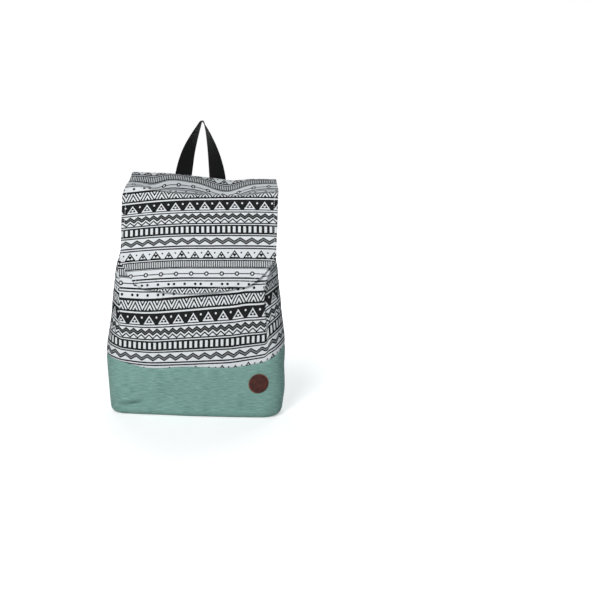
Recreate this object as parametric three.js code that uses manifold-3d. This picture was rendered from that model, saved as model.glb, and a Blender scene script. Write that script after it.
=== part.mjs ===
// A fold-over backpack standing on its base. Millimetres, +Z up, front towards -Y, +X to the
// right of someone facing the front. The origin is the middle of the flat base.

import * as THREE from 'three';
import { mergeVertices } from 'three/addons/utils/BufferGeometryUtils.js';
import Module from 'manifold-3d';

// Cloth
const panelThickness = 2.5;
const liningThickness = 1.2;
const flapThickness = 3;
const fabricGap = 0.3;
const flapEase = 0.8;

// Body
const seamFrontHeight = 92;
const seamSideRise = 20;
const rimHeight = 392;
const baseEdgeRadius = 12;

// Cross-sections of the body. front and back are half widths of the two faces, side is the half
// width at the side seam; depths count from the middle plane; a round above nothing gives a soft
// corner and one below it a folded crease.
const sections = [
  { height: 0, side: 151, front: 122, frontDepth: 54, frontBulge: 5, frontRound: 17,
    back: 124, backDepth: 54, backBulge: 4, backRound: 15 },
  { height: 108, side: 160, front: 124, frontDepth: 56, frontBulge: 15, frontRound: 22,
    back: 128, backDepth: 56, backBulge: 8, backRound: 18 },
  { height: 180, side: 153, front: 133, frontDepth: 56, frontBulge: 15, frontRound: 1,
    back: 126, backDepth: 53, backBulge: 8, backRound: 14 },
  { height: 262, side: 143, front: 134, frontDepth: 52, frontBulge: 13, frontRound: -3,
    back: 122, backDepth: 46, backBulge: 7, backRound: 9 },
  { height: rimHeight, side: 112, front: 125, frontDepth: 31, frontBulge: 6, frontRound: -1,
    back: 114, backDepth: 32, backBulge: 4, backRound: 5 },
];

// Flap
const flapTopWidth = 274;
const flapHemWidth = 284;
const flapHemHeight = 227;
const flapChamferWidth = 50;
const flapChamferHeight = 50;
const flapRearOverlap = 20;
const flapRearRise = 33;
const flapFrontRise = 18;
const flapSags = [
  { x: -88, reach: 30, depth: 9 },
  { x: 40, reach: 34, depth: 10 },
];

// Webbing
const webbingWidth = 30;
const webbingThickness = 1.6;

// Carry handle
const handleCentre = -2;
const handleSpacing = 64;
const handleRise = 128;
const handleSewnLength = 34;
const handleTurnRadius = 7;
const handleBow = 7;

// Leather patch
const patchDiameter = 36;
const patchThickness = 2;
const patchAcross = 115;
const patchHeight = 63;

// Shoulder straps
const strapTopSpread = 144;
const strapFootSpread = 196;
const strapFootHeight = 46;
const strapSewnLength = 26;
const strapTopEase = 1.3;
const strapRunLength = 175;
const strapRunAngle = 9;
const strapSlack = 75;
const tabLength = 30;

// Metal ring at the foot of a strap
const ringWire = 3.2;
const ringPitch = 16;
const ringSideClearance = 1;

// Strap slide
const slideBarRadius = 1.5;
const slideFrameThickness = 2.4;
const slideRail = 3.6;
const slideLength = 26;
const slideSideClearance = 1;
const slidePlace = 95;

const { Manifold, Mesh: ManifoldMesh } = await Module().then((kernel) => {
  kernel.setup();
  return kernel;
});

const materials = {
  print: () => new THREE.MeshStandardMaterial({ color: 0xc9cbcd, roughness: 0.9 }),
  green: () => new THREE.MeshStandardMaterial({ color: 0x78998f, roughness: 0.9 }),
  lining: () => new THREE.MeshStandardMaterial({ color: 0x1b1c1d, roughness: 0.9 }),
  webbing: () => new THREE.MeshStandardMaterial({ color: 0x1d1e1f, roughness: 0.85 }),
  leather: () => new THREE.MeshStandardMaterial({ color: 0x5a2d28, roughness: 0.6 }),
  metal: () => new THREE.MeshStandardMaterial({ color: 0xb9bcbf, metalness: 1, roughness: 0.3 }),
};

function evenly(from, to, count) {
  return Array.from({ length: count + 1 }, (_, i) => from + (to - from) * i / count);
}

// Closed surface from points and triangles, faces turned outwards.
function closedGeometry(points, triangles) {
  const volume = triangles.reduce((sum, [a, b, c]) => {
    const normal = new THREE.Vector3().crossVectors(points[b], points[c]);
    return sum + points[a].dot(normal);
  }, 0);
  const faces = volume > 0 ? triangles : triangles.map(([a, b, c]) => [a, c, b]);
  const geometry = new THREE.BufferGeometry().setFromPoints(points);
  geometry.setIndex(faces.flat());
  return geometry;
}

// Loft through rings of equal count. The ends close on a middle point, or on each other.
function loft(rings, startMiddle, endMiddle) {
  const count = rings[0].length;
  const points = rings.flat();
  const triangles = [];
  const looped = startMiddle === undefined;
  const spans = looped ? rings.length : rings.length - 1;
  for (let row = 0; row < spans; row += 1) {
    const lower = row * count;
    const upper = ((row + 1) % rings.length) * count;
    for (let i = 0; i < count; i += 1) {
      const next = (i + 1) % count;
      triangles.push([lower + i, lower + next, upper + next], [lower + i, upper + next, upper + i]);
    }
  }
  if (!looped) {
    const last = (rings.length - 1) * count;
    const start = points.push(startMiddle) - 1;
    const end = points.push(endMiddle) - 1;
    for (let i = 0; i < count; i += 1) {
      const next = (i + 1) % count;
      triangles.push([start, next, i], [end, last + i, last + next]);
    }
  }
  return closedGeometry(points, triangles);
}

// Sheet with an outer and an inner grid of points, closed round its edge.
function sheet(outer, inner) {
  const columns = outer[0].length;
  const rings = [];
  for (let c = 0; c < columns; c += 1) {
    rings.push([...outer.map((row) => row[c]), ...inner.map((row) => row[c]).reverse()]);
  }
  const first = rings[0];
  const last = rings[columns - 1];
  const rows = outer.length;
  const points = rings.flat();
  const triangles = [];
  for (let c = 0; c < columns - 1; c += 1) {
    for (let i = 0; i < first.length; i += 1) {
      const next = (i + 1) % first.length;
      const here = c * first.length;
      const there = here + first.length;
      triangles.push([here + i, there + i, here + next], [there + i, there + next, here + next]);
    }
  }
  const end = (columns - 1) * last.length;
  for (let r = 0; r < rows - 1; r += 1) {
    const facing = first.length - 1 - r;
    triangles.push([r, r + 1, facing - 1], [r, facing - 1, facing]);
    triangles.push([end + r, end + facing - 1, end + r + 1], [end + r, end + facing, end + facing - 1]);
  }
  return closedGeometry(points, triangles);
}

// Value of one measure of the body at a height, smooth through the sections.
function measure(name, z) {
  const last = sections.length - 1;
  const knots = sections.map((section) => section.height);
  let span = 0;
  while (span < last - 1 && z > knots[span + 1]) span += 1;
  const value = (i) => sections[i][name];
  const slope = (i) => {
    const before = Math.max(i - 1, 0);
    const after = Math.min(i + 1, last);
    return (value(after) - value(before)) / (knots[after] - knots[before]);
  };
  const length = knots[span + 1] - knots[span];
  const t = Math.min(Math.max((z - knots[span]) / length, 0), 1);
  const from = value(span);
  const to = value(span + 1);
  const m0 = slope(span) * length;
  const m1 = slope(span + 1) * length;
  const cubic = 2 * (from - to) + m0 + m1;
  const square = 3 * (to - from) - 2 * m0 - m1;
  return ((cubic * t + square) * t + m0) * t + from;
}

function frontY(x, z) {
  const width = measure('front', z);
  const across = Math.min(Math.abs(x) / width, 1);
  return -measure('frontDepth', z) - measure('frontBulge', z) * (1 - across * across);
}

function backY(x, z) {
  const width = measure('back', z);
  const across = Math.min(Math.abs(x) / width, 1);
  return measure('backDepth', z) + measure('backBulge', z) * (1 - across * across);
}

// Places round the body: 0 at the front middle, 0.5 at the side seam and 1 at the back middle,
// negative on the left.
const frontEnd = 0.32;
const backStart = 0.68;
const sideSeam = 0.5;

// Point of the body's outer surface.
function bodyPoint(turn, z) {
  const hand = turn < 0 ? -1 : 1;
  const t = Math.abs(turn);
  const front = measure('front', z);
  const back = measure('back', z);
  const side = measure('side', z);
  if (t <= frontEnd) {
    const x = front * t / frontEnd;
    return new THREE.Vector3(hand * x, frontY(x, z), z);
  }
  if (t >= backStart) {
    const x = back * (1 - t) / (1 - backStart);
    return new THREE.Vector3(hand * x, backY(x, z), z);
  }
  const depth = t <= sideSeam ? measure('frontDepth', z) : measure('backDepth', z);
  const face = t <= sideSeam ? front : back;
  const bulge = t <= sideSeam ? measure('frontBulge', z) : measure('backBulge', z);
  const round = t <= sideSeam ? measure('frontRound', z) : measure('backRound', z);
  const folded = THREE.MathUtils.clamp(1 - round / 10, 0, 1);
  const lean = THREE.MathUtils.lerp(2 * bulge / face * round, depth * 0.16, folded);
  const corner = new THREE.CubicBezierCurve(
    new THREE.Vector2(face, depth),
    new THREE.Vector2(face + round, depth - lean),
    new THREE.Vector2(side, depth * 0.62),
    new THREE.Vector2(side, fabricGap / 2),
  );
  const along = t <= sideSeam
    ? (t - frontEnd) / (sideSeam - frontEnd)
    : (backStart - t) / (backStart - sideSeam);
  const place = corner.getPoint(along);
  return new THREE.Vector3(hand * place.x, t <= sideSeam ? -place.y : place.y, z);
}

// Direction out of the body. On a crease it is longer, so that an inset keeps its distance from the
// cloth on both sides.
function bodyNormal(turn, z) {
  const here = bodyPoint(turn, z);
  const up = bodyPoint(turn, z + 0.5).sub(bodyPoint(turn, z - 0.5));
  const after = bodyPoint(turn + 0.004, z).sub(here).cross(up).normalize();
  const before = here.sub(bodyPoint(turn - 0.004, z)).cross(up).normalize();
  const middle = after.add(before).normalize();
  return middle.divideScalar(middle.dot(before));
}

// Point at a depth inside the body's outer surface, or outside it where the depth is negative.
function insetPoint(turn, z, depth) {
  return bodyPoint(turn, z).addScaledVector(bodyNormal(turn, z), -depth);
}

function seamHeight(turn) {
  const toSide = Math.min(Math.abs(turn) / sideSeam, 1);
  return seamFrontHeight + seamSideRise * THREE.MathUtils.smoothstep(toSide, 0.3, 1);
}

const rightFront = [...evenly(0, frontEnd, 6), ...evenly(frontEnd + 0.06, sideSeam, 4)];
const rightBack = [...evenly(sideSeam + 1e-6, backStart - 0.05, 3), ...evenly(backStart, 1, 5)];
const mirrored = (turns) => turns.toReversed().map((turn) => -turn);
const frontTurns = [...mirrored(rightFront.slice(1)), ...rightFront];
const backTurns = [...rightBack, ...mirrored(rightBack.slice(0, -1))];
const fullTurns = [...frontTurns, ...backTurns.slice(1, -1)];

const lowerLevels = evenly(0, 1, 4).slice(1);
const upperLevels = evenly(0, 1, 10);

function lowerHeight(turn, level) {
  return baseEdgeRadius + (seamHeight(turn) - baseEdgeRadius) * level;
}

function upperHeight(turn, level) {
  const start = seamHeight(turn) + fabricGap;
  return start + (rimHeight - start) * level;
}

// Open bag: a flat floor, a rounded edge and walls, between two depths inside the outer surface.
function bagGeometry(outside, inside, wallHeights) {
  const edge = (depth, angle) => fullTurns.map((turn) => {
    const radius = baseEdgeRadius - depth;
    const foot = bodyPoint(turn, baseEdgeRadius);
    const away = bodyNormal(turn, baseEdgeRadius).setZ(0).normalize();
    foot.addScaledVector(away, -depth - radius * (1 - Math.sin(angle)));
    return foot.setZ(depth + radius * (1 - Math.cos(angle)));
  });
  const wall = (depth, height) => fullTurns.map((turn) => insetPoint(turn, height(turn), depth));
  const angles = evenly(0, Math.PI / 2, 3);
  const rings = [
    ...angles.map((angle) => edge(outside, angle)),
    ...wallHeights.map((height) => wall(outside, height)),
    ...wallHeights.toReversed().map((height) => wall(inside, height)),
    ...angles.toReversed().map((angle) => edge(inside, angle)),
  ];
  return loft(rings, new THREE.Vector3(0, 0, outside), new THREE.Vector3(0, 0, inside));
}

function panelGeometry(turns) {
  const grid = (depth) => upperLevels.map((level) => (
    turns.map((turn) => insetPoint(turn, upperHeight(turn, level), depth))
  ));
  return sheet(grid(0), grid(panelThickness));
}

// Middle line of the flap's inner face from its rear hem, over the mouth and down the front. Each
// place tells how far it follows the curve of the back and of the front.
function flapRows() {
  const rearFoot = rimHeight - flapRearOverlap;
  const rear = evenly(0, 1, 3).map((t) => {
    const z = rearFoot + flapRearOverlap * t;
    return { y: backY(0, z) + fabricGap * 2, z, followBack: 1, followFront: 0 };
  });
  const backEdge = new THREE.Vector2(backY(0, rimHeight) - 4, rimHeight + flapRearRise - flapThickness);
  const frontEdge = new THREE.Vector2(frontY(0, rimHeight), rimHeight + flapFrontRise - flapThickness);
  const frontTop = rimHeight - 12;
  const start = rear[rear.length - 1];
  const over = new THREE.CubicBezierCurve(
    new THREE.Vector2(start.y, start.z),
    new THREE.Vector2(start.y, start.z + flapRearRise * 0.75),
    new THREE.Vector2(backEdge.x + 3, backEdge.y),
    new THREE.Vector2(backEdge.x - 12, backEdge.y - 2),
  );
  const down = new THREE.CubicBezierCurve(
    new THREE.Vector2(frontEdge.x + 16, frontEdge.y + 3),
    new THREE.Vector2(frontEdge.x - 1, frontEdge.y),
    new THREE.Vector2(frontY(0, frontTop) - flapEase + 1, frontTop + 16),
    new THREE.Vector2(frontY(0, frontTop) - flapEase, frontTop),
  );
  const bridge = new THREE.LineCurve(over.getPoint(1), down.getPoint(0));
  const rows = [...rear];
  over.getPoints(5).slice(1).forEach((place, i) => {
    rows.push({ y: place.x, z: place.y, followBack: 1 - (i + 1) / 5, followFront: 0 });
  });
  bridge.getPoints(5).slice(1).forEach((place) => {
    rows.push({ y: place.x, z: place.y, followBack: 0, followFront: 0 });
  });
  down.getPoints(6).slice(1).forEach((place, i) => {
    rows.push({ y: place.x, z: place.y, followBack: 0, followFront: (i + 1) / 6 });
  });
  return { rows, frontTop };
}

function flapColumns() {
  const half = flapHemWidth / 2;
  const inner = half - flapChamferWidth;
  return [
    ...evenly(-half, -inner, 3),
    ...evenly(-inner, inner, 12).slice(1),
    ...evenly(inner, half, 3).slice(1),
  ];
}

function flapInner() {
  const { rows, frontTop } = flapRows();
  const inner = flapHemWidth / 2 - flapChamferWidth;
  const topShare = flapTopWidth / flapHemWidth;
  const mouthFront = frontY(0, rimHeight);
  const mouthBack = backY(0, rimHeight);
  const sag = (x, y) => {
    const across = (y - mouthFront) / (mouthBack - mouthFront);
    const open = across > 0 && across < 1 ? Math.sin(Math.PI * across) ** 0.7 : 0;
    return open * flapSags.reduce((sum, fold) => (
      sum + fold.depth * Math.exp(-(((x - fold.x) / fold.reach) ** 2))
    ), 0);
  };
  const overTop = rows.map((row) => flapColumns().map((column) => {
    const x = column * topShare;
    const bow = row.followBack * (backY(x, row.z) - backY(0, row.z))
      + row.followFront * (frontY(x, row.z) - frontY(0, row.z));
    return new THREE.Vector3(x, row.y + bow, row.z - (row.z > rimHeight ? sag(x, row.y) : 0));
  }));
  const downFront = evenly(0, 1, 10).slice(1).map((share) => flapColumns().map((column) => {
    const corner = Math.max(0, (Math.abs(column) - inner) / flapChamferWidth);
    const end = flapHemHeight + flapChamferHeight * corner;
    const z = frontTop + (end - frontTop) * share;
    const width = topShare + (1 - topShare) * (frontTop - z) / (frontTop - flapHemHeight);
    const x = column * width;
    return new THREE.Vector3(x, frontY(x, z) - flapEase, z);
  }));
  return [...overTop, ...downFront];
}

// Grid moved along its own normals, away from the inside of the bag.
function offsetGrid(grid, distance) {
  const clamp = (i, count) => Math.min(Math.max(i, 0), count - 1);
  return grid.map((row, r) => row.map((point, c) => {
    const left = row[clamp(c - 1, row.length)];
    const right = row[clamp(c + 1, row.length)];
    const before = grid[clamp(r - 1, grid.length)][c];
    const after = grid[clamp(r + 1, grid.length)][c];
    const normal = after.clone().sub(before).cross(right.clone().sub(left)).normalize();
    return point.clone().addScaledVector(normal, distance);
  }));
}

function flapGeometry() {
  const inner = flapInner();
  return sheet(offsetGrid(inner, flapThickness), inner);
}

// Outer face of the flap where it is sewn to the back.
function hemOuterY(x, z) {
  return backY(x, z) + fabricGap * 2 + flapThickness;
}

// Loop of webbing, flat on the rear hem at both ends and turned a quarter where it is held.
function handleGeometry() {
  const left = handleCentre - handleSpacing / 2;
  const right = handleCentre + handleSpacing / 2;
  const foot = rimHeight - flapRearOverlap + 2;
  const sewnTop = foot + handleSewnLength;
  const apex = rimHeight + handleRise;
  const y = hemOuterY(0, foot) + fabricGap + webbingThickness / 2;
  const at = (x, z) => new THREE.Vector3(x, y, z);
  const path = new THREE.CatmullRomCurve3([
    at(left, foot),
    at(left, sewnTop),
    at(left + 2, sewnTop + 14),
    at((left + handleCentre - handleTurnRadius) / 2 - handleBow, (sewnTop + apex) / 2),
    at(handleCentre - handleTurnRadius, apex - handleTurnRadius * 1.8),
    at(handleCentre, apex),
    at(handleCentre + handleTurnRadius, apex - handleTurnRadius * 1.8),
    at((right + handleCentre + handleTurnRadius) / 2 - 2, (sewnTop + apex) / 2),
    at(right - 2, sewnTop + 14),
    at(right, sewnTop),
    at(right, foot),
  ]);
  const steps = 72;
  const face = (side) => evenly(0, 1, steps).map((t) => {
    const place = path.getPointAt(t);
    const tangent = path.getTangentAt(t);
    const turned = THREE.MathUtils.clamp((place.z - sewnTop) / (apex - sewnTop), 0, 1) * Math.PI / 2;
    const flat = new THREE.Vector3(0, 1, 0).cross(tangent).normalize();
    const across = flat.multiplyScalar(Math.cos(turned))
      .addScaledVector(new THREE.Vector3(0, 1, 0), Math.sin(turned));
    const thick = across.clone().cross(tangent).normalize();
    return evenly(-webbingWidth / 2, webbingWidth / 2, 4).map((u) => place.clone()
      .addScaledVector(across, u)
      .addScaledVector(thick, side * webbingThickness / 2));
  });
  return sheet(face(1), face(-1));
}

// Place round the body at a distance along its surface from the front middle.
function turnAt(distance, z) {
  let turn = 0;
  let covered = 0;
  const step = Math.sign(distance) * 0.002;
  let here = bodyPoint(0, z);
  while (covered < Math.abs(distance) && Math.abs(turn) < 1) {
    const next = bodyPoint(turn + step, z);
    covered += next.distanceTo(here);
    here = next;
    turn += step;
  }
  return turn;
}

// Disc that follows the curve of the cloth it is sewn to.
function patchGeometry() {
  const radius = patchDiameter / 2;
  const spokes = evenly(0, Math.PI * 2, 28).slice(0, -1);
  const ring = (share, height) => spokes.map((angle) => {
    const z = patchHeight + radius * share * Math.sin(angle);
    const turn = turnAt(patchAcross + radius * share * Math.cos(angle), z);
    return insetPoint(turn, z, -height);
  });
  const under = fabricGap * 2;
  const over = under + patchThickness;
  const middle = (height) => insetPoint(turnAt(patchAcross, patchHeight), patchHeight, -height);
  const shares = [0.4, 0.75, 1];
  const rings = [
    ...shares.map((share) => ring(share, under)),
    ...shares.toReversed().map((share) => ring(share, over)),
  ];
  return loft(rings, middle(under), middle(over));
}

// Webbing seen along its width: a middle line drawn to the webbing's thickness, then extruded.
function bandGeometry(line) {
  const half = webbingThickness / 2;
  const sideAt = (i) => {
    const before = line[Math.max(i - 1, 0)];
    const after = line[Math.min(i + 1, line.length - 1)];
    const along = after.clone().sub(before).normalize();
    return new THREE.Vector2(-along.y, along.x).multiplyScalar(half);
  };
  const left = line.map((point, i) => point.clone().add(sideAt(i)));
  const right = line.map((point, i) => point.clone().sub(sideAt(i)));
  const shape = new THREE.Shape([...left, ...right.reverse()]);
  const band = new THREE.ExtrudeGeometry(shape, { depth: webbingWidth, bevelEnabled: false });
  return acrossWebbing(band.translate(0, 0, -webbingWidth / 2));
}

// Turns a drawing from its own plane so that its first axis points away from the bag and its
// second up the strap.
function acrossWebbing(geometry) {
  return geometry.applyMatrix4(new THREE.Matrix4().makeBasis(
    new THREE.Vector3(0, 1, 0),
    new THREE.Vector3(0, 0, 1),
    new THREE.Vector3(1, 0, 0),
  ));
}

function arc(centre, radius, from, to, count) {
  return evenly(from, to, count).map((angle) => new THREE.Vector2(
    centre.x + radius * Math.cos(angle),
    centre.y + radius * Math.sin(angle),
  ));
}

// The slide's middle bar stands this far behind the strap, past one layer of webbing.
const slideBarOffset = webbingThickness * 1.5 + fabricGap * 2 + slideBarRadius;
const slideWrap = slideBarRadius + fabricGap + webbingThickness / 2;
const strapWrap = slideBarOffset;
const tabWrap = ringWire / 2 + fabricGap * 1.5 + webbingThickness / 2;
const runAngle = THREE.MathUtils.degToRad(strapRunAngle);

// Frame of one strap: its origin is the axis of the ring in its tab, its second axis points out of
// the back and its third towards the top end.
function strapFrame(hand) {
  const footX = hand * strapFootSpread / 2;
  const topX = hand * strapTopSpread / 2;
  const topZ = rimHeight + 6;
  const turnOf = (x, z) => hand * (1 - Math.abs(x) / measure('back', z) * (1 - backStart));
  const foot = bodyPoint(turnOf(footX, strapFootHeight), strapFootHeight);
  const out = bodyNormal(turnOf(footX, strapFootHeight), strapFootHeight);
  const origin = foot.addScaledVector(out, tabWrap + webbingThickness / 2 + fabricGap * 2);
  const onHem = (z) => {
    const y = hemOuterY(topX, z) + webbingThickness / 2 + strapTopEase;
    return new THREE.Vector3(topX, y, z).sub(origin);
  };
  const top = onHem(topZ);
  const up = top.clone().addScaledVector(out, -top.dot(out)).normalize();
  const across = out.clone().cross(up);
  const inPlane = (point) => new THREE.Vector2(point.dot(out), point.dot(up));
  return {
    place: new THREE.Matrix4().makeBasis(across, out, up).setPosition(origin),
    top: inPlane(top),
    sewnEnd: inPlane(onHem(topZ - strapSewnLength)),
  };
}

// Point beside the straight run of a strap, measured outwards from its middle line and up from the
// ring's upper bar.
function besideRun(outward, up) {
  const along = ringPitch + up;
  return new THREE.Vector2(
    along * Math.sin(runAngle) + outward * Math.cos(runAngle),
    along * Math.cos(runAngle) - outward * Math.sin(runAngle),
  );
}

// Shoulder strap from its sewn top end down to the turn round the ring.
function strapGeometry(top, sewnEnd) {
  const runTop = besideRun(strapWrap, strapRunLength);
  const downHem = sewnEnd.clone().sub(top).setLength(strapSlack);
  const bow = new THREE.CubicBezierCurve(
    sewnEnd,
    sewnEnd.clone().add(downHem),
    besideRun(strapWrap, strapRunLength + strapSlack),
    runTop,
  );
  const bend = arc(new THREE.Vector2(0, 0), strapWrap, 0, -Math.PI, 9)
    .map((point) => besideRun(point.x, point.y));
  return bandGeometry([top, ...bow.getPoints(22), ...bend]);
}

// Layer of the same webbing that comes back from the ring and is sewn round the slide's bar.
function returnGeometry() {
  const sewn = slideWrap - webbingThickness - fabricGap;
  const bend = arc(new THREE.Vector2(0, slidePlace), slideWrap, Math.PI, 0, 9);
  const line = [
    new THREE.Vector2(-strapWrap, fabricGap),
    new THREE.Vector2(-slideWrap, slidePlace - 34),
    ...bend,
    new THREE.Vector2(slideWrap - sewn * 0.5, slidePlace - 7),
    new THREE.Vector2(-sewn, slidePlace - 14),
    new THREE.Vector2(-sewn, slidePlace - 32),
  ];
  return bandGeometry(line.map((point) => besideRun(point.x, point.y)));
}

// Tab folded round the ring and sewn to the foot of the back.
function tabGeometry() {
  const outerLayer = webbingThickness + fabricGap - tabWrap;
  return bandGeometry([
    new THREE.Vector2(-tabWrap, -tabLength),
    new THREE.Vector2(-tabWrap, -tabLength / 2),
    ...arc(new THREE.Vector2(0, 0), tabWrap, Math.PI, 0, 9),
    new THREE.Vector2((tabWrap + outerLayer) / 2, -tabLength / 5),
    new THREE.Vector2(outerLayer, -tabLength / 2.5),
    new THREE.Vector2(outerLayer, -tabLength),
  ]);
}

// Rectangular ring of round wire, its lower bar on the frame's first axis.
function ringGeometry() {
  const halfWidth = webbingWidth / 2 + ringSideClearance + ringWire / 2;
  const corner = ringWire;
  const centres = [
    [halfWidth - corner, corner, -Math.PI / 2],
    [halfWidth - corner, ringPitch - corner, 0],
    [corner - halfWidth, ringPitch - corner, Math.PI / 2],
    [corner - halfWidth, corner, Math.PI],
  ];
  const path = centres.flatMap(([x, z, from]) => (
    arc(new THREE.Vector2(x, z), corner, from, from + Math.PI / 2, 4)
      .map((point, i) => ({ point, angle: from + Math.PI / 8 * i }))
  ));
  const rings = path.map(({ point, angle }) => evenly(0, Math.PI * 2, 8).slice(0, -1).map((turn) => {
    const out = ringWire / 2 * Math.cos(turn);
    return new THREE.Vector3(
      point.x + out * Math.cos(angle),
      ringWire / 2 * Math.sin(turn),
      point.y + out * Math.sin(angle),
    );
  }));
  return loft(rings).rotateX(-runAngle);
}

function toManifold(geometry) {
  const solid = geometry.index ? geometry.clone() : geometry;
  ['normal', 'uv'].forEach((name) => solid.deleteAttribute(name));
  const merged = mergeVertices(solid, 1e-4);
  return new Manifold(new ManifoldMesh({
    numProp: 3,
    vertProperties: new Float32Array(merged.attributes.position.array),
    triVerts: new Uint32Array(merged.index.array),
  }));
}

function fromManifold(solid) {
  const mesh = solid.getMesh();
  const geometry = new THREE.BufferGeometry();
  geometry.setAttribute('position', new THREE.BufferAttribute(mesh.vertProperties, 3));
  geometry.setIndex(new THREE.BufferAttribute(mesh.triVerts, 1));
  return geometry;
}

function roundedRectangle(Kind, width, height, radius) {
  const x = width / 2;
  const y = height / 2;
  const outline = new Kind();
  outline.moveTo(radius - x, -y);
  outline.lineTo(x - radius, -y);
  outline.absarc(x - radius, radius - y, radius, -Math.PI / 2, 0);
  outline.lineTo(x, y - radius);
  outline.absarc(x - radius, y - radius, radius, 0, Math.PI / 2);
  outline.lineTo(radius - x, y);
  outline.absarc(radius - x, y - radius, radius, Math.PI / 2, Math.PI);
  outline.lineTo(-x, radius - y);
  outline.absarc(radius - x, radius - y, radius, Math.PI, Math.PI * 1.5);
  return outline;
}

// Strap slide: a flat frame outside the strap and a bar behind it, joined by a cheek at each end.
function slideGeometry() {
  const inside = webbingWidth + slideSideClearance * 2;
  const outside = inside + slideRail * 2;
  const frameInner = webbingThickness / 2 + fabricGap;
  const frameShape = roundedRectangle(THREE.Shape, outside, slideLength, slideRail);
  frameShape.holes.push(roundedRectangle(THREE.Path, inside, slideLength - slideRail * 2, 1.2));
  const frame = new THREE.ExtrudeGeometry(frameShape, {
    depth: slideFrameThickness,
    bevelEnabled: false,
    curveSegments: 5,
  }).rotateX(Math.PI / 2).translate(0, frameInner + slideFrameThickness, 0);
  const cheekShape = new THREE.Shape();
  cheekShape.moveTo(frameInner + slideFrameThickness / 2, -slideRail);
  cheekShape.lineTo(frameInner + slideFrameThickness / 2, slideRail);
  cheekShape.lineTo(-slideBarOffset, slideBarRadius + 0.8);
  cheekShape.absarc(-slideBarOffset, 0, slideBarRadius + 0.8, Math.PI / 2, Math.PI * 1.5);
  const cheek = acrossWebbing(new THREE.ExtrudeGeometry(cheekShape, {
    depth: slideRail - 0.8,
    bevelEnabled: false,
    curveSegments: 6,
  }));
  const bar = new THREE.CylinderGeometry(slideBarRadius, slideBarRadius, outside - 2, 14)
    .rotateZ(Math.PI / 2).translate(0, -slideBarOffset, 0);
  const right = toManifold(cheek.clone().translate(inside / 2, 0, 0));
  const left = toManifold(cheek.clone().translate(-inside / 2 - slideRail + 0.8, 0, 0));
  const joined = Manifold.union([toManifold(frame), right, left, toManifold(bar)]);
  const along = besideRun(strapWrap, slidePlace);
  return fromManifold(joined).rotateX(-runAngle).translate(0, along.x, along.y);
}

const backpack = new THREE.Group();
backpack.name = 'backpack';

function add(name, geometry, material, place) {
  if (place) geometry.applyMatrix4(place);
  geometry.deleteAttribute('normal');
  geometry.deleteAttribute('uv');
  const merged = mergeVertices(geometry, 1e-3);
  merged.computeVertexNormals();
  const mesh = new THREE.Mesh(merged, material());
  mesh.name = name;
  backpack.add(mesh);
}

const baseRows = lowerLevels.map((level) => (turn) => lowerHeight(turn, level));
const panelRows = upperLevels.map((level) => (turn) => upperHeight(turn, level));
const liningDepth = panelThickness + fabricGap * 2;

add('base', bagGeometry(0, panelThickness, baseRows), materials.green);
add('front_panel', panelGeometry(frontTurns), materials.print);
add('back_panel', panelGeometry(backTurns), materials.print);
add('lining', bagGeometry(liningDepth, liningDepth + liningThickness, [...baseRows, ...panelRows]),
  materials.lining);
add('flap', flapGeometry(), materials.print);
add('carry_handle', handleGeometry(), materials.webbing);
add('leather_patch', patchGeometry(), materials.leather);

[['left', -1], ['right', 1]].forEach(([hand, sign]) => {
  const { place, top, sewnEnd } = strapFrame(sign);
  add(`shoulder_strap_${hand}`, strapGeometry(top, sewnEnd), materials.webbing, place);
  add(`strap_return_${hand}`, returnGeometry(), materials.webbing, place);
  add(`ring_tab_${hand}`, tabGeometry(), materials.webbing, place);
  add(`strap_ring_${hand}`, ringGeometry(), materials.metal, place);
  add(`strap_slide_${hand}`, slideGeometry(), materials.metal, place);
});

export default backpack;
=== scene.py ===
import math

import bmesh
import bpy
import numpy as np
from mathutils import Matrix, Vector


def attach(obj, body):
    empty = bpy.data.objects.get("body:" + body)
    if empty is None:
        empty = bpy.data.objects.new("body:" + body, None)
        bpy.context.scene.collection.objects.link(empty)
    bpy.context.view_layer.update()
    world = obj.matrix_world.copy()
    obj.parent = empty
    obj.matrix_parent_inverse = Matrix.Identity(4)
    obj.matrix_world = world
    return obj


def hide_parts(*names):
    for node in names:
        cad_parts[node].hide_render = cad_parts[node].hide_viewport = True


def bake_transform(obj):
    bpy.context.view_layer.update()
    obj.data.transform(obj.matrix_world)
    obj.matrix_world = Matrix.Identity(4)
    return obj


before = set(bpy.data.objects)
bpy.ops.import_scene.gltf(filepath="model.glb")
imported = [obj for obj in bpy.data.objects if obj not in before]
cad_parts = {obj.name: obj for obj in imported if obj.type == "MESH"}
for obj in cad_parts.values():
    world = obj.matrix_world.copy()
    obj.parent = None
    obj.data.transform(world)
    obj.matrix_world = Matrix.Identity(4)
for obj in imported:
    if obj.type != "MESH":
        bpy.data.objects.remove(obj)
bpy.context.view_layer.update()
mm = 0.001
scene = bpy.context.scene
scene.view_settings.view_transform = "Standard"
print("frame loaded with", len(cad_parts), "nodes")


# Camera: where the photograph was taken from, turned so that the bag lands where the photograph has it
view = dict(azimuth=5.0, elevation=8.0, roll=1.0, distance=2.5, focalPixels=1391.0, imagePixels=595,
            aim=(0, 0, 0.215), aimPixel=(197.1, 292.5), sensor=36.0)


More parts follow.
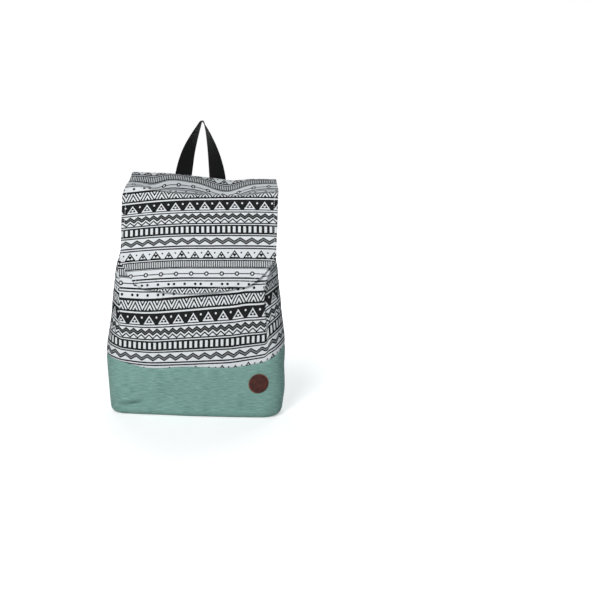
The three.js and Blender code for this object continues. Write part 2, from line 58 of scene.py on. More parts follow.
def makeCamera():
    az, el = math.radians(view["azimuth"]), math.radians(view["elevation"])
    back = Vector((math.sin(az) * math.cos(el), -math.cos(az) * math.cos(el), math.sin(el)))
    right = Vector((math.cos(az), math.sin(az), 0))
    turned = Matrix((right, back.cross(right), back)).transposed().to_4x4()
    middle = view["imagePixels"] / 2
    yaw = math.atan((view["aimPixel"][0] - middle) / view["focalPixels"])
    pitch = math.atan((middle - view["aimPixel"][1]) / view["focalPixels"] * math.cos(yaw))
    turned = turned @ Matrix.Rotation(math.radians(view["roll"]), 4, "Z")
    turned = turned @ Matrix.Rotation(yaw, 4, "Y") @ Matrix.Rotation(-pitch, 4, "X")
    data = bpy.data.cameras.new("camera")
    data.sensor_width = view["sensor"]
    data.lens = view["sensor"] * view["focalPixels"] / view["imagePixels"]
    camera = bpy.data.objects.new("camera", data)
    camera.matrix_world = Matrix.Translation(Vector(view["aim"]) + back * view["distance"]) @ turned
    scene.collection.objects.link(camera)
    scene.camera = camera


makeCamera()


# Nodes: every tree below is made with this one function
def addNode(tree, kind, sockets=(), **settings):
    node = tree.nodes.new(kind)
    for name, value in settings.items():
        setattr(node, name, value)
    for name, value in sockets.items() if isinstance(sockets, dict) else enumerate(sockets):
        if isinstance(value, bpy.types.NodeSocket):
            tree.links.new(value, node.inputs[name])
        else:
            node.inputs[name].default_value = value
    return next((out for out in node.outputs if out.enabled), node)


def tint(hexText):
    channels = [int(hexText[i:i + 2], 16) / 255 for i in (1, 3, 5)]
    return tuple(c / 12.92 if c <= 0.04045 else ((c + 0.055) / 1.055) ** 2.4 for c in channels) + (1.0,)


# Stage and light: white floor, a soft key lamp from the front and above, two softer lamps behind
stage = dict(floor=6.0, floorDrop=0.0004, floorColour="#F2F2F2", worldColour="#B4DCF0", ambient=0.1,
             glow=0.5, farGlow=1.0, glowSpan=(0.35, 1.6), aim=(0, 0, 0.22),
             lamps=[dict(name="key", at=(-0.38, -2.35, 1.4), size=0.7, watts=50.0),
                    dict(name="rearLeft", at=(-0.8, 2.5, 1.5), size=1.4, watts=25.0),
                    dict(name="rearRight", at=(0.8, 2.5, 1.5), size=1.4, watts=25.0)])
pureWhite = (1, 1, 1, 1)


def newMaterial(name):
    material = bpy.data.materials.new(name)
    material.use_nodes = True
    tree = material.node_tree
    tree.nodes.clear()
    return material, tree


# Rays that see the background itself, straight or in metal and glass
def backgroundRays(tree):
    path = addNode(tree, "ShaderNodeLightPath").node.outputs
    seen = addNode(tree, "ShaderNodeMath", (path["Is Camera Ray"], path["Is Glossy Ray"]),
                   operation="MAXIMUM")
    return addNode(tree, "ShaderNodeMath", (seen, path["Is Transmission Ray"]), operation="MAXIMUM")


def makeWorld():
    world = bpy.data.worlds.new("studio")
    scene.world = world
    world.use_nodes = True
    tree = world.node_tree
    tree.nodes.clear()
    seen = backgroundRays(tree)
    ambient = addNode(tree, "ShaderNodeBackground", (tint(stage["worldColour"]), stage["ambient"]))
    white = addNode(tree, "ShaderNodeBackground", (pureWhite, 1.0))
    both = addNode(tree, "ShaderNodeMixShader", (seen, ambient, white))
    addNode(tree, "ShaderNodeOutputWorld", (both,))


# Matt white paper: takes the bag's shadow and glows to pure white away from it
def makeFloor():
    half = stage["floor"]
    mesh = bpy.data.meshes.new("floor")
    corners = [(x * half, y * half, -stage["floorDrop"]) for x, y in ((-1, -1), (1, -1), (1, 1), (-1, 1))]
    mesh.from_pydata(corners, [], [(0, 1, 2, 3)])
    floor = bpy.data.objects.new("floor", mesh)
    scene.collection.objects.link(floor)
    paper, tree = newMaterial("matt white paper")
    seen = backgroundRays(tree)
    place = addNode(tree, "ShaderNodeTexCoord").node.outputs["Object"]
    away = addNode(tree, "ShaderNodeVectorMath", {0: place}, operation="LENGTH").node.outputs["Value"]
    near, far = stage["glowSpan"]
    pale = addNode(tree, "ShaderNodeMapRange", {"Value": away, "From Min": near, "From Max": far,
                                                "To Min": stage["glow"], "To Max": stage["farGlow"]})
    glow = addNode(tree, "ShaderNodeMath", (seen, pale), operation="MULTIPLY")
    lit = addNode(tree, "ShaderNodeBsdfDiffuse", (tint(stage["floorColour"]),))
    bright = addNode(tree, "ShaderNodeEmission", (pureWhite, glow))
    addNode(tree, "ShaderNodeOutputMaterial", (addNode(tree, "ShaderNodeAddShader", (lit, bright)),))
    mesh.materials.append(paper)


def makeLamps():
    for spec in stage["lamps"]:
        data = bpy.data.lights.new(spec["name"], "AREA")
        data.shape = "DISK"
        data.size = spec["size"]
        data.energy = spec["watts"]
        lamp = bpy.data.objects.new(spec["name"], data)
        lamp.location = spec["at"]
        lamp.rotation_euler = (Vector(stage["aim"]) - lamp.location).to_track_quat("-Z", "Y").to_euler()
        scene.collection.objects.link(lamp)


makeWorld()
makeFloor()
makeLamps()
print("camera, floor and lamps made")


# Materials: a colour, a height for the bump and the shader's own values
def finishMaterial(tree, colour, height, bump, **values):
    normal = addNode(tree, "ShaderNodeBump", {"Height": height, "Distance": bump * mm, "Strength": 1.0})
    sockets = {"Base Color": colour, "Normal": normal}
    sockets.update({name.replace("_", " "): value for name, value in values.items()})
    shader = addNode(tree, "ShaderNodeBsdfPrincipled", sockets)
    addNode(tree, "ShaderNodeOutputMaterial", (shader,))


# Printed cotton: sizes of the traditional band print in mm, counted down one repeat of the cloth
bandPrint = dict(
    start=5.6, repeat=177.9,
    scale=0.977,              # the cloth's own mm for one mm of the print as drawn
    lines=[(46.5, 48.5), (66.0, 68.2), (87.7, 89.9), (105.8, 108.5), (110.5, 112.9), (128.6, 130.8),
           (132.3, 134.3), (144.8, 147.0), (147.6, 148.6), (164.1, 167.1), (169.7, 171.8), (181.5, 183.5)],
    chevrons=dict(ground=(5.6, 23.4), period=26.7, phase=14.7, slope=1.65,
                  strokes=dict(period=9.1, phase=5.2, stroke=4.8, inside=(7.4, 20.8))),
    peaks=dict(ground=(25.8, 44.4), dots=dict(period=26.7, phase=27.35, at=32.1, radius=1.7),
               tents=dict(period=26.7, phase=14.0, apex=28.9, base=42.7, width=20.6, outline=2.4,
                          heart=0.55)),
    bars=dict(ground=(69.8, 86.3), strokes=dict(period=9.36, phase=10.3, stroke=4.8, inside=(72.5, 83.2))),
    thickWave=dict(period=14.4, phase=20.5, peak=48.9, rise=5.0, stroke=7.0, core=1.8, fade=0.15),
    thinWave=dict(period=14.4, phase=20.5, peak=58.2, rise=5.8, stroke=2.7),
    greyWave=dict(period=20.85, phase=14.6, peak=91.5, rise=6.2, stroke=7.0, core=2.4, fade=0.25),
    tents=[dict(period=47.4, phase=19.8, apex=114.2, base=129.7, width=21.6, outline=2.6, heart=0.42),
           dict(period=47.4, phase=43.5, apex=116.3, base=129.7, width=18.0, outline=2.4, heart=0.42)],
    rules=dict(period=3.3, phase=0.0, stroke=1.85, inside=(132.9, 147.0)),
    rings=dict(period=27.3, phase=16.8, at=157.4, radius=4.1, stroke=2.2, line=1.7),
    spots=[dict(period=47.8, phase=26.1, at=176.4, radius=2.4),
           dict(period=47.8, phase=45.15, at=176.4, radius=2.4),
           dict(period=47.8, phase=54.85, at=176.4, radius=2.4),
           dict(period=23.7, phase=31.7, at=119.3, radius=1.5)],       # beside the tents
    # shade is a painted shade for the weave's hollows, white the colour of the thread tops
    white="#F1F2F3", shade="#E4E6E8", ink="#090A0B", thread=1.1, bump=0.18,
    wobble=dict(scale=0.35, size=0.7), wear=dict(scale=0.6, span=(0.3, 0.7), least=0.96))


def between(tree, value, low, high):
    return addNode(tree, "ShaderNodeMath", (value, (low + high) / 2, (high - low) / 2), operation="COMPARE")


def toNearest(tree, u, period, phase):
    moved = addNode(tree, "ShaderNodeMath", (u, phase), operation="SUBTRACT")
    return addNode(tree, "ShaderNodeMath", (moved, period / 2), operation="PINGPONG")


def zigzag(tree, u, v, period, phase, peak, rise, stroke, core=0.0, fade=0.0):
    wave = toNearest(tree, u, period, phase)
    middle = addNode(tree, "ShaderNodeMath", (wave, 2 * rise / period, peak + stroke / 2),
                     operation="MULTIPLY_ADD")
    line = addNode(tree, "ShaderNodeMath", (v, middle, stroke / 2), operation="COMPARE")
    if not core:
        return line
    pale = addNode(tree, "ShaderNodeMath", (v, middle, core / 2), operation="COMPARE")
    return addNode(tree, "ShaderNodeMath", (pale, -fade, line), operation="MULTIPLY_ADD")


# Straight strokes along a band, cut off at its inner edges
def strokes(tree, along, v, period, phase, stroke, inside):
    wave = toNearest(tree, along, period, phase)
    line = addNode(tree, "ShaderNodeMath", (wave, stroke / 2), operation="LESS_THAN")
    return addNode(tree, "ShaderNodeMath", (line, between(tree, v, *inside)), operation="MULTIPLY")


def spot(tree, u, v, period, phase, at, radius):
    wave = toNearest(tree, u, period, phase)
    place = addNode(tree, "ShaderNodeCombineXYZ", (wave, v, 0.0))
    away = addNode(tree, "ShaderNodeVectorMath", (place, (0, at, 0)), operation="DISTANCE")
    return addNode(tree, "ShaderNodeMath", (away, radius), operation="LESS_THAN")


# Outlined triangle with a small inverted one in its middle
def tent(tree, u, v, period, phase, apex, base, width, outline, heart):
    wave = toNearest(tree, u, period, phase)
    slope = width / 2 / (base - apex)
    half = addNode(tree, "ShaderNodeMath", (v, slope, -apex * slope), operation="MULTIPLY_ADD")
    inside = addNode(tree, "ShaderNodeMath", (half, wave), operation="SUBTRACT")
    outer = addNode(tree, "ShaderNodeMath", (inside, 0.0), operation="GREATER_THAN")
    outer = addNode(tree, "ShaderNodeMath", (outer, between(tree, v, apex, base)), operation="MULTIPLY")
    inner = addNode(tree, "ShaderNodeMath", (inside, outline), operation="GREATER_THAN")
    foot = base - outline
    inner = addNode(tree, "ShaderNodeMath", (inner, between(tree, v, apex, foot)), operation="MULTIPLY")
    top = apex + heart * (base - apex)
    taper = addNode(tree, "ShaderNodeMath", (v, -slope, foot * slope), operation="MULTIPLY_ADD")
    small = addNode(tree, "ShaderNodeMath", (wave, taper), operation="LESS_THAN")
    small = addNode(tree, "ShaderNodeMath", (small, between(tree, v, top, foot)), operation="MULTIPLY")
    small = addNode(tree, "ShaderNodeMath", (small, outer), operation="MULTIPLY")
    ring = addNode(tree, "ShaderNodeMath", (outer, inner), operation="SUBTRACT", use_clamp=True)
    return addNode(tree, "ShaderNodeMath", (ring, small), operation="MAXIMUM")


def anyOf(tree, layers):
    total = layers[0]
    for layer in layers[1:]:
        total = addNode(tree, "ShaderNodeMath", (total, layer), operation="MAXIMUM")
    return total


# Dark ground of a band with pale figures left out of it
def darkBand(tree, v, top, bottom, pale):
    ground = between(tree, v, top, bottom)
    return addNode(tree, "ShaderNodeMath", (ground, pale), operation="SUBTRACT", use_clamp=True)


def printInk(tree, u, v):
    ink = [between(tree, v, low, high) for low, high in bandPrint["lines"]]

    c = bandPrint["chevrons"]
    wave = toNearest(tree, u, c["period"], c["phase"])
    slant = addNode(tree, "ShaderNodeMath", (wave, -c["slope"], v), operation="MULTIPLY_ADD")
    ink.append(darkBand(tree, v, *c["ground"], strokes(tree, slant, v, **c["strokes"])))

    p = bandPrint["peaks"]
    pale = anyOf(tree, [tent(tree, u, v, **p["tents"]), spot(tree, u, v, **p["dots"])])
    ink.append(darkBand(tree, v, *p["ground"], pale))

    b = bandPrint["bars"]
    ink.append(darkBand(tree, v, *b["ground"], strokes(tree, u, v, **b["strokes"])))

    ink += [zigzag(tree, u, v, **bandPrint[name]) for name in ("thickWave", "thinWave", "greyWave")]
    ink += [tent(tree, u, v, **spec) for spec in bandPrint["tents"]]
    ink += [spot(tree, u, v, **spec) for spec in bandPrint["spots"]]
    ink.append(strokes(tree, u, v, **bandPrint["rules"]))

    o = bandPrint["rings"]
    disc = spot(tree, u, v, o["period"], o["phase"], o["at"], o["radius"])
    hole = spot(tree, u, v, o["period"], o["phase"], o["at"], o["radius"] - o["stroke"])
    thread = between(tree, v, o["at"] - o["line"] / 2, o["at"] + o["line"] / 2)
    beads = addNode(tree, "ShaderNodeMath", (disc, thread), operation="MAXIMUM")
    ink.append(addNode(tree, "ShaderNodeMath", (beads, hole), operation="SUBTRACT", use_clamp=True))
    return anyOf(tree, ink)


# Plain weave height from the cloth's own map; a wave texture's length is 2 pi / 20 over its scale
def weaveHeight(tree, cloth, acrossPitch, alongPitch):
    waveLength = 2 * math.pi / 20
    warp = addNode(tree, "ShaderNodeTexWave", {"Vector": cloth, "Scale": waveLength / (acrossPitch * mm)},
                   bands_direction="X").node.outputs["Fac"]
    weft = addNode(tree, "ShaderNodeTexWave", {"Vector": cloth, "Scale": waveLength / (alongPitch * mm)},
                   bands_direction="Y").node.outputs["Fac"]
    return addNode(tree, "ShaderNodeMath", (warp, weft), operation="MULTIPLY")


# Cotton canvas, plain woven and screen printed: matt, a little fuzzy, ink sunk into the threads, with painted
# shade in the weave's hollows.
# Its real threads are about 0.5 mm apart, drawn here at twice that so that they show.
def makePrintedCotton():
    material, tree = newMaterial("printed cotton canvas")
    cloth = addNode(tree, "ShaderNodeUVMap", uv_map="cloth")
    drawn = addNode(tree, "ShaderNodeVectorMath", {0: cloth, "Scale": 1 / (mm * bandPrint["scale"])},
                    operation="SCALE")
    uneven, wear = bandPrint["wobble"], bandPrint["wear"]
    wobble = addNode(tree, "ShaderNodeTexNoise", {"Vector": drawn, "Scale": uneven["scale"], "Detail": 2.0})
    wobble = addNode(tree, "ShaderNodeMath", (wobble, -0.5), operation="ADD")
    split = addNode(tree, "ShaderNodeSeparateXYZ", (drawn,)).node.outputs
    u, v = (addNode(tree, "ShaderNodeMath", (wobble, uneven["size"], split[axis]), operation="MULTIPLY_ADD")
            for axis in "XY")
    v = addNode(tree, "ShaderNodeMath", (v, bandPrint["start"] + bandPrint["repeat"], bandPrint["start"]),
                operation="WRAP")
    ink = printInk(tree, u, v)
    weave = weaveHeight(tree, cloth, bandPrint["thread"], bandPrint["thread"])
    worn = addNode(tree, "ShaderNodeTexNoise", {"Vector": drawn, "Scale": wear["scale"], "Detail": 3.0})
    thin, full = wear["span"]
    cover = addNode(tree, "ShaderNodeMapRange", {"Value": worn, "From Min": thin, "From Max": full,
                                                 "To Min": wear["least"], "To Max": 1.0})
    ink = addNode(tree, "ShaderNodeMath", (ink, cover), operation="MULTIPLY")
    # Ground painted darker in the weave's hollows and white on the thread tops: painted shade of the weave
    ground = addNode(tree, "ShaderNodeMix",
                     {0: weave, 6: tint(bandPrint["shade"]), 7: tint(bandPrint["white"])}, data_type="RGBA")
    inked = addNode(tree, "ShaderNodeMix", {0: ink, 6: ground, 7: tint(bandPrint["ink"])}, data_type="RGBA")
    finishMaterial(tree, inked, weave, bandPrint["bump"], Roughness=0.95, Specular_IOR_Level=0.05)
    return material


printedCotton = makePrintedCotton()
print("printed cotton drawn with", len(printedCotton.node_tree.nodes), "nodes")


# Slub cotton for the base: thick and thin weft threads give short level streaks over a fine warp.
# Colours are the photograph's green by daylight. Threads are drawn about twice their real size to show.
# Here and below a noise's scale is how many of its blots there are to a metre.
slubCloth = dict(light="#96BCB2", middle="#7DA399", dark="#60867D", streakLong=16.0, streakTall=1.4,
                 spread=0.16, warpSpan=(0.3, 0.7), warpShare=0.5, cloudScale=22.0, cloudSpan=(0.35, 0.7),
                 cloudShare=0.25, thread=1.5, streakHeight=1.4, bump=0.2)


def makeSlubCotton():
    s = slubCloth
    material, tree = newMaterial("green slub cotton")
    cloth = addNode(tree, "ShaderNodeUVMap", uv_map="cloth")
    long, tall = 1 / (s["streakLong"] * mm), 1 / (s["streakTall"] * mm)
    level = addNode(tree, "ShaderNodeMapping", {"Vector": cloth, "Scale": (long, tall, 1.0)})
    streak = addNode(tree, "ShaderNodeTexNoise",
                     {"Vector": level, "Scale": 1.0, "Detail": 3.0, "Roughness": 0.6})
    upright = addNode(tree, "ShaderNodeMapping", {"Vector": cloth, "Scale": (tall, long, 1.0)})
    warp = addNode(tree, "ShaderNodeTexNoise",
                   {"Vector": upright, "Scale": 1.0, "Detail": 2.0, "Roughness": 0.5})
    cloud = addNode(tree, "ShaderNodeTexNoise", {"Vector": cloth, "Scale": s["cloudScale"], "Detail": 2.0})
    ramp = addNode(tree, "ShaderNodeValToRGB", (streak,)).node
    first, last = ramp.color_ramp.elements
    first.position, first.color = 0.5 - s["spread"], tint(s["dark"])
    last.position, last.color = 0.5 + s["spread"], tint(s["light"])
    ramp.color_ramp.elements.new(0.5).color = tint(s["middle"])
    low, high = s["warpSpan"]
    shade = addNode(tree, "ShaderNodeMapRange", {"Value": warp, "From Min": low, "From Max": high,
                                                 "To Min": 0.0, "To Max": s["warpShare"]})
    lined = addNode(tree, "ShaderNodeMix", {0: shade, 6: ramp.outputs["Color"], 7: tint(s["middle"])},
                    data_type="RGBA")
    low, high = s["cloudSpan"]
    fade = addNode(tree, "ShaderNodeMapRange", {"Value": cloud, "From Min": low, "From Max": high,
                                                "To Min": 0.0, "To Max": s["cloudShare"]})
    colour = addNode(tree, "ShaderNodeMix", {0: fade, 6: lined, 7: tint(s["light"])}, data_type="RGBA")
    weave = weaveHeight(tree, cloth, s["thread"], s["thread"])
    height = addNode(tree, "ShaderNodeMath", (streak, s["streakHeight"], weave), operation="MULTIPLY_ADD")
    finishMaterial(tree, colour, height, s["bump"], Roughness=0.9, Sheen_Weight=0.1, Specular_IOR_Level=0.2)
    return material


# Black polypropylene webbing: tightly woven of dull yarn, ribbed across, a little paler where it is rubbed
webbingCloth = dict(black="#090909", worn="#151618", rib=2.2, yarn=1.5, rubScale=260.0, bump=0.5)


def makeWebbing():
    w = webbingCloth
    material, tree = newMaterial("black woven webbing")
    cloth = addNode(tree, "ShaderNodeUVMap", uv_map="cloth")
    weave = weaveHeight(tree, cloth, w["rib"], w["yarn"])
    rubbed = addNode(tree, "ShaderNodeTexNoise", {"Vector": cloth, "Scale": w["rubScale"], "Detail": 2.0})
    high = addNode(tree, "ShaderNodeMath", (weave, rubbed), operation="MULTIPLY")
    colour = addNode(tree, "ShaderNodeMix", {0: high, 6: tint(w["black"]), 7: tint(w["worn"])},
                     data_type="RGBA")
    finishMaterial(tree, colour, weave, w["bump"], Roughness=0.7, Specular_IOR_Level=0.12, Sheen_Weight=0.02)
    return material


# Vegetable-tanned leather, die cut: fine pebbled grain, a paler raw edge, colour rubbed unevenly
patchLeather = dict(dark="#341612", middle="#4F2820", edge="#8A5F4C", rawEdge=(16.3, 17.8), grain=1.3,
                    rubScale=130.0, rubSpan=(0.35, 0.65), bump=0.2)


def makeLeather():
    p = patchLeather
    material, tree = newMaterial("brown leather")
    cloth = addNode(tree, "ShaderNodeUVMap", uv_map="cloth")
    away = addNode(tree, "ShaderNodeVectorMath", (cloth, (0, 0, 0)), operation="DISTANCE")
    rubbed = addNode(tree, "ShaderNodeTexNoise", {"Vector": cloth, "Scale": p["rubScale"], "Detail": 4.0})
    pores = addNode(tree, "ShaderNodeTexVoronoi", {"Vector": cloth, "Scale": 1 / (p["grain"] * mm)},
                    feature="F1")
    low, high = p["rubSpan"]
    uneven = addNode(tree, "ShaderNodeMapRange", {"Value": rubbed, "From Min": low, "From Max": high})
    tanned = addNode(tree, "ShaderNodeMix", {0: uneven, 6: tint(p["dark"]), 7: tint(p["middle"])},
                     data_type="RGBA")
    inner, outer = p["rawEdge"]
    raw = addNode(tree, "ShaderNodeMapRange",
                  {"Value": away, "From Min": inner * mm, "From Max": outer * mm})
    colour = addNode(tree, "ShaderNodeMix", {0: raw, 6: tanned, 7: tint(p["edge"])}, data_type="RGBA")
    finishMaterial(tree, colour, pores, p["bump"], Roughness=0.6, Specular_IOR_Level=0.25)
    return material


# Nickel-plated steel wire: bright, with fine draw marks
nickelPlate = dict(dull="#B4B6B8", bright="#D2D3D4", markScale=900.0, bump=0.03)


def makeNickel():
    n = nickelPlate
    material, tree = newMaterial("nickel-plated steel")
    place = addNode(tree, "ShaderNodeTexCoord").node.outputs["Object"]
    marks = addNode(tree, "ShaderNodeTexNoise", {"Vector": place, "Scale": n["markScale"], "Detail": 3.0})
    colour = addNode(tree, "ShaderNodeMix", {0: marks, 6: tint(n["dull"]), 7: tint(n["bright"])},
                     data_type="RGBA")
    finishMaterial(tree, colour, marks, n["bump"], Roughness=0.24, Metallic=1.0)
    return material


# Black cotton lining, plain woven: dull, hardly seen, its threads drawn coarse so that they show, with
# painted shade in the weave's hollows
liningWeave = dict(dark="#17181A", light="#26282B", thread=1.2, bump=0.2)


def makeLining():
    w = liningWeave
    material, tree = newMaterial("black cotton lining")
    cloth = addNode(tree, "ShaderNodeUVMap", uv_map="cloth")
    weave = weaveHeight(tree, cloth, w["thread"], w["thread"])
    # Colour painted lighter on the thread tops and darker in the weave's hollows: painted shade of the weave
    colour = addNode(tree, "ShaderNodeMix", {0: weave, 6: tint(w["dark"]), 7: tint(w["light"])},
                     data_type="RGBA")
    finishMaterial(tree, colour, weave, w["bump"], Roughness=0.9, Specular_IOR_Level=0.2)
    return material


# Twisted sewing thread: a slight gloss, with the twist just showing. Colours are its painted shade and
# painted highlight, dark in the twist's grooves and light on its ridges.
sewingThread = dict(twistScale=500.0, bump=0.05, white=("#C9CCCE", "#E2E4E5"), black=("#141516", "#2C2D2F"))


def makeThread(name, dark, light):
    material, tree = newMaterial(name)
    place = addNode(tree, "ShaderNodeTexCoord").node.outputs["Object"]
    twist = addNode(tree, "ShaderNodeTexWave", {"Vector": place, "Scale": sewingThread["twistScale"]},
                    bands_direction="DIAGONAL")
    # Twist painted light on its ridges and dark in its grooves: painted highlight and painted shade
    colour = addNode(tree, "ShaderNodeMix", {0: twist, 6: tint(dark), 7: tint(light)}, data_type="RGBA")
    finishMaterial(tree, colour, twist, sewingThread["bump"], Roughness=0.7)
    return material


slubCotton = makeSlubCotton()
webbing = makeWebbing()
leather = makeLeather()
nickel = makeNickel()
liningCotton = makeLining()
whiteThread = makeThread("white cotton thread", *sewingThread["white"])
blackThread = makeThread("black polyester thread", *sewingThread["black"])
print("materials made")


# Meshes: a cloth piece is a grid of points in mm with its own flat map in metres
def gridObject(name, points, cloth, material, thickness=0.0, weld=False):
    rows, columns = points.shape[:2]
    index = np.arange(rows * columns).reshape(rows, columns)
    faces = np.stack([index[:-1, :-1], index[:-1, 1:], index[1:, 1:], index[1:, :-1]], -1).reshape(-1, 4)
    mesh = bpy.data.meshes.new(name)
    mesh.from_pydata((points.reshape(-1, 3) * mm).tolist(), [], faces.tolist())
    layer = mesh.uv_layers.new(name="cloth")
    corners = np.zeros(len(mesh.loops), int)
    mesh.loops.foreach_get("vertex_index", corners)
    layer.uv.foreach_set("vector", (cloth.reshape(-1, 2)[corners] * mm).astype(np.float32).ravel())
    if weld:
        work = bmesh.new()
        work.from_mesh(mesh)
        bmesh.ops.remove_doubles(work, verts=work.verts, dist=2e-5)
        bmesh.ops.dissolve_degenerate(work, edges=work.edges, dist=1e-6)
        work.to_mesh(mesh)
        work.free()
    mesh.shade_smooth()
    mesh.materials.append(material)
    piece = bpy.data.objects.new(name, mesh)
    scene.collection.objects.link(piece)
    if thickness:
        wall = piece.modifiers.new("thickness", "SOLIDIFY")
        wall.thickness = thickness * mm
        wall.offset = -1.0                # inwards from the drawn outer face
        wall.use_even_offset = False
    return piece


def unit(vectors):
    return vectors / np.linalg.norm(vectors, axis=-1, keepdims=True)


# Unit normals of a grid, pointing to its left as its rows are walked
def gridNormals(points):
    along = np.gradient(points, axis=0)
    across = np.gradient(points, axis=1)
    normals = np.cross(across, along)
    return normals / np.maximum(np.linalg.norm(normals, axis=2, keepdims=True), 1e-9)


def runLength(points, axis):
    steps = np.linalg.norm(np.diff(points, axis=axis), axis=2)
    start = np.zeros_like(np.take(steps, [0], axis=axis))
    return np.concatenate([start, np.cumsum(steps, axis=axis)], axis=axis)


def easeBetween(value, low, high):
    t = np.clip((value - low) / (high - low), 0, 1)
    return t * t * (3 - 2 * t)


# Uneven surface made of a few plane waves through space, the same each run
def unevenness(points, size, seed, waves=7):
    draw = np.random.default_rng(seed)
    directions = draw.normal(size=(waves, 3))
    phases = draw.uniform(0, 6.3, waves)
    stretches = draw.uniform(0.7, 1.6, waves)
    total = np.zeros(points.shape[:-1])
    for direction, phase, stretch in zip(directions, phases, stretches):
        total += np.sin(points @ unit(direction) * 2 * math.pi / (size * stretch) + phase)
    return total / 4


# Height of creases and folds on a cloth: each runs from one place to another, with a width and a height,
# and runs out softly past both its ends
def foldHeight(u, v, folds, runOut=0.25):
    total = np.zeros_like(u)
    for fold in folds:
        (u0, v0), (u1, v1) = fold["start"], fold["end"]
        du, dv = u1 - u0, v1 - v0
        length = math.hypot(du, dv)
        t = ((u - u0) * du + (v - v0) * dv) / length ** 2
        away = ((u - u0) * dv - (v - v0) * du) / length
        fade = easeBetween(t, -runOut, runOut) * (1 - easeBetween(t, 1 - fold.get("fall", 0.4), 1 + runOut))
        total += fold["height"] * fade * np.exp(-(away / fold["width"]) ** 2)
    return total


# Body: cross-sections of the filled bag in mm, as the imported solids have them. face is the half width of a
# side, depth its distance from the middle plane, round the softness of its corner, below nothing a crease.
body = dict(
    seamFront=92.0, seamRise=20.0, riseFrom=0.3, seamLift=(0.31, 14.0), liftOut=(0.55, 0.9),
    seamDrop=7.0, dropSpan=(0.0, 0.24), dropOut=(0.5, 0.65), rim=392.0, edgeRadius=12.0,
    frontEnd=0.32, backStart=0.68, softFull=10.0, foldLean=0.16, cornerDepth=0.62, seamGap=0.15,
    steps=(49, 29, 25, 37),                # round the front, its corner, the rear corner and the back
    heights=[0, 108, 180, 262, 392],
    side=[151, 160, 153, 143, 112],
    front=dict(face=[122, 124, 133, 134, 125], depth=[54, 56, 56, 52, 31], bulge=[5, 15, 15, 13, 6],
               round=[17, 22, 1, -3, -1]),
    back=dict(face=[124, 128, 126, 122, 114], depth=[54, 56, 53, 46, 32], bulge=[4, 8, 8, 7, 4],
              round=[15, 18, 14, 9, 5]))


def measure(values, z):
    knots = np.array(body["heights"], float)
    values = np.array(values, float)
    last = len(knots) - 1
    before = np.maximum(np.arange(last + 1) - 1, 0)
    after = np.minimum(np.arange(last + 1) + 1, last)
    slopes = (values[after] - values[before]) / (knots[after] - knots[before])
    span = np.clip(np.searchsorted(knots, z) - 1, 0, last - 1)
    length = knots[span + 1] - knots[span]
    t = np.clip((z - knots[span]) / length, 0, 1)
    begin, end = values[span], values[span + 1]
    m0, m1 = slopes[span] * length, slopes[span + 1] * length
    return ((2 * (begin - end) + m0 + m1) * t + 3 * (end - begin) - 2 * m0 - m1) * t * t + m0 * t + begin


def faceDepth(half, x, z):
    across = np.minimum(np.abs(x) / measure(half["face"], z), 1)
    return measure(half["depth"], z) + measure(half["bulge"], z) * (1 - across * across)


# Outer surface of the body: turn is 0 at the front middle, 0.5 at the side seam, 1 at the back middle
def bodyPoint(turn, z):
    turn, z = np.broadcast_arrays(np.asarray(turn, float), np.asarray(z, float))
    hand = np.where(turn < 0, -1.0, 1.0)
    t = np.abs(turn)
    points = np.zeros(turn.shape + (3,))
    for half, sign, way, end in ((body["front"], -1.0, t, body["frontEnd"]),
                                 (body["back"], 1.0, 1 - t, 1 - body["backStart"])):
        at = way / end
        face, depth = measure(half["face"], z), measure(half["depth"], z)
        bulge, soft, side = measure(half["bulge"], z), measure(half["round"], z), measure(body["side"], z)
        flatX = face * np.minimum(at, 1)
        flatY = faceDepth(half, flatX, z)
        q = np.clip((at - 1) * end / (0.5 - end), 0, 1)
        p = 1 - q
        folded = np.clip(1 - soft / body["softFull"], 0, 1)
        lean = (2 * bulge / face * soft) * (1 - folded) + depth * body["foldLean"] * folded
        curveX = face * p ** 3 + 3 * (face + soft) * q * p ** 2 + side * (3 * q * q * p + q ** 3)
        curveY = (depth * p ** 3 + 3 * (depth - lean) * q * p ** 2
                  + 3 * depth * body["cornerDepth"] * q * q * p + body["seamGap"] * q ** 3)
        mine = t <= 0.5 if sign < 0 else t > 0.5
        onFace = at <= 1
        points[..., 0] = np.where(mine, np.where(onFace, flatX, curveX) * hand, points[..., 0])
        points[..., 1] = np.where(mine, np.where(onFace, flatY, curveY) * sign, points[..., 1])
    points[..., 2] = z
    return points


# Rise of the seam, and of the print above it, towards the sides, with a lift from a start on the right alone
def sideRise(turn, start, lift):
    right = lift * easeBetween(turn, start, 0.5) * (1 - easeBetween(turn, *body["liftOut"]))
    toSide = np.minimum(np.abs(turn) / 0.5, 1)
    return body["seamRise"] * easeBetween(toSide, body["riseFrom"], 1) + right


def seamHeight(turn):
    left = body["seamDrop"] * easeBetween(-turn, *body["dropSpan"])
    left = left * (1 - easeBetween(-turn, *body["dropOut"]))
    return body["seamFront"] + sideRise(turn, *body["seamLift"]) - left


frontEnd, backStart = body["frontEnd"], body["backStart"]
turnMarks = [0, frontEnd, 0.5, backStart, 1]
spans = zip(turnMarks, turnMarks[1:], body["steps"])
rightTurns = np.concatenate([[0]] + [np.linspace(start, end, count)[1:] for start, end, count in spans])
ringTurns = np.concatenate([-rightTurns[:0:-1], rightTurns])
frontTurns = ringTurns[np.abs(ringTurns) <= 0.5]
backHalf = np.maximum(rightTurns[rightTurns >= 0.5], 0.5 + 1e-6)
backTurns = np.concatenate([backHalf, -backHalf[-2::-1]])

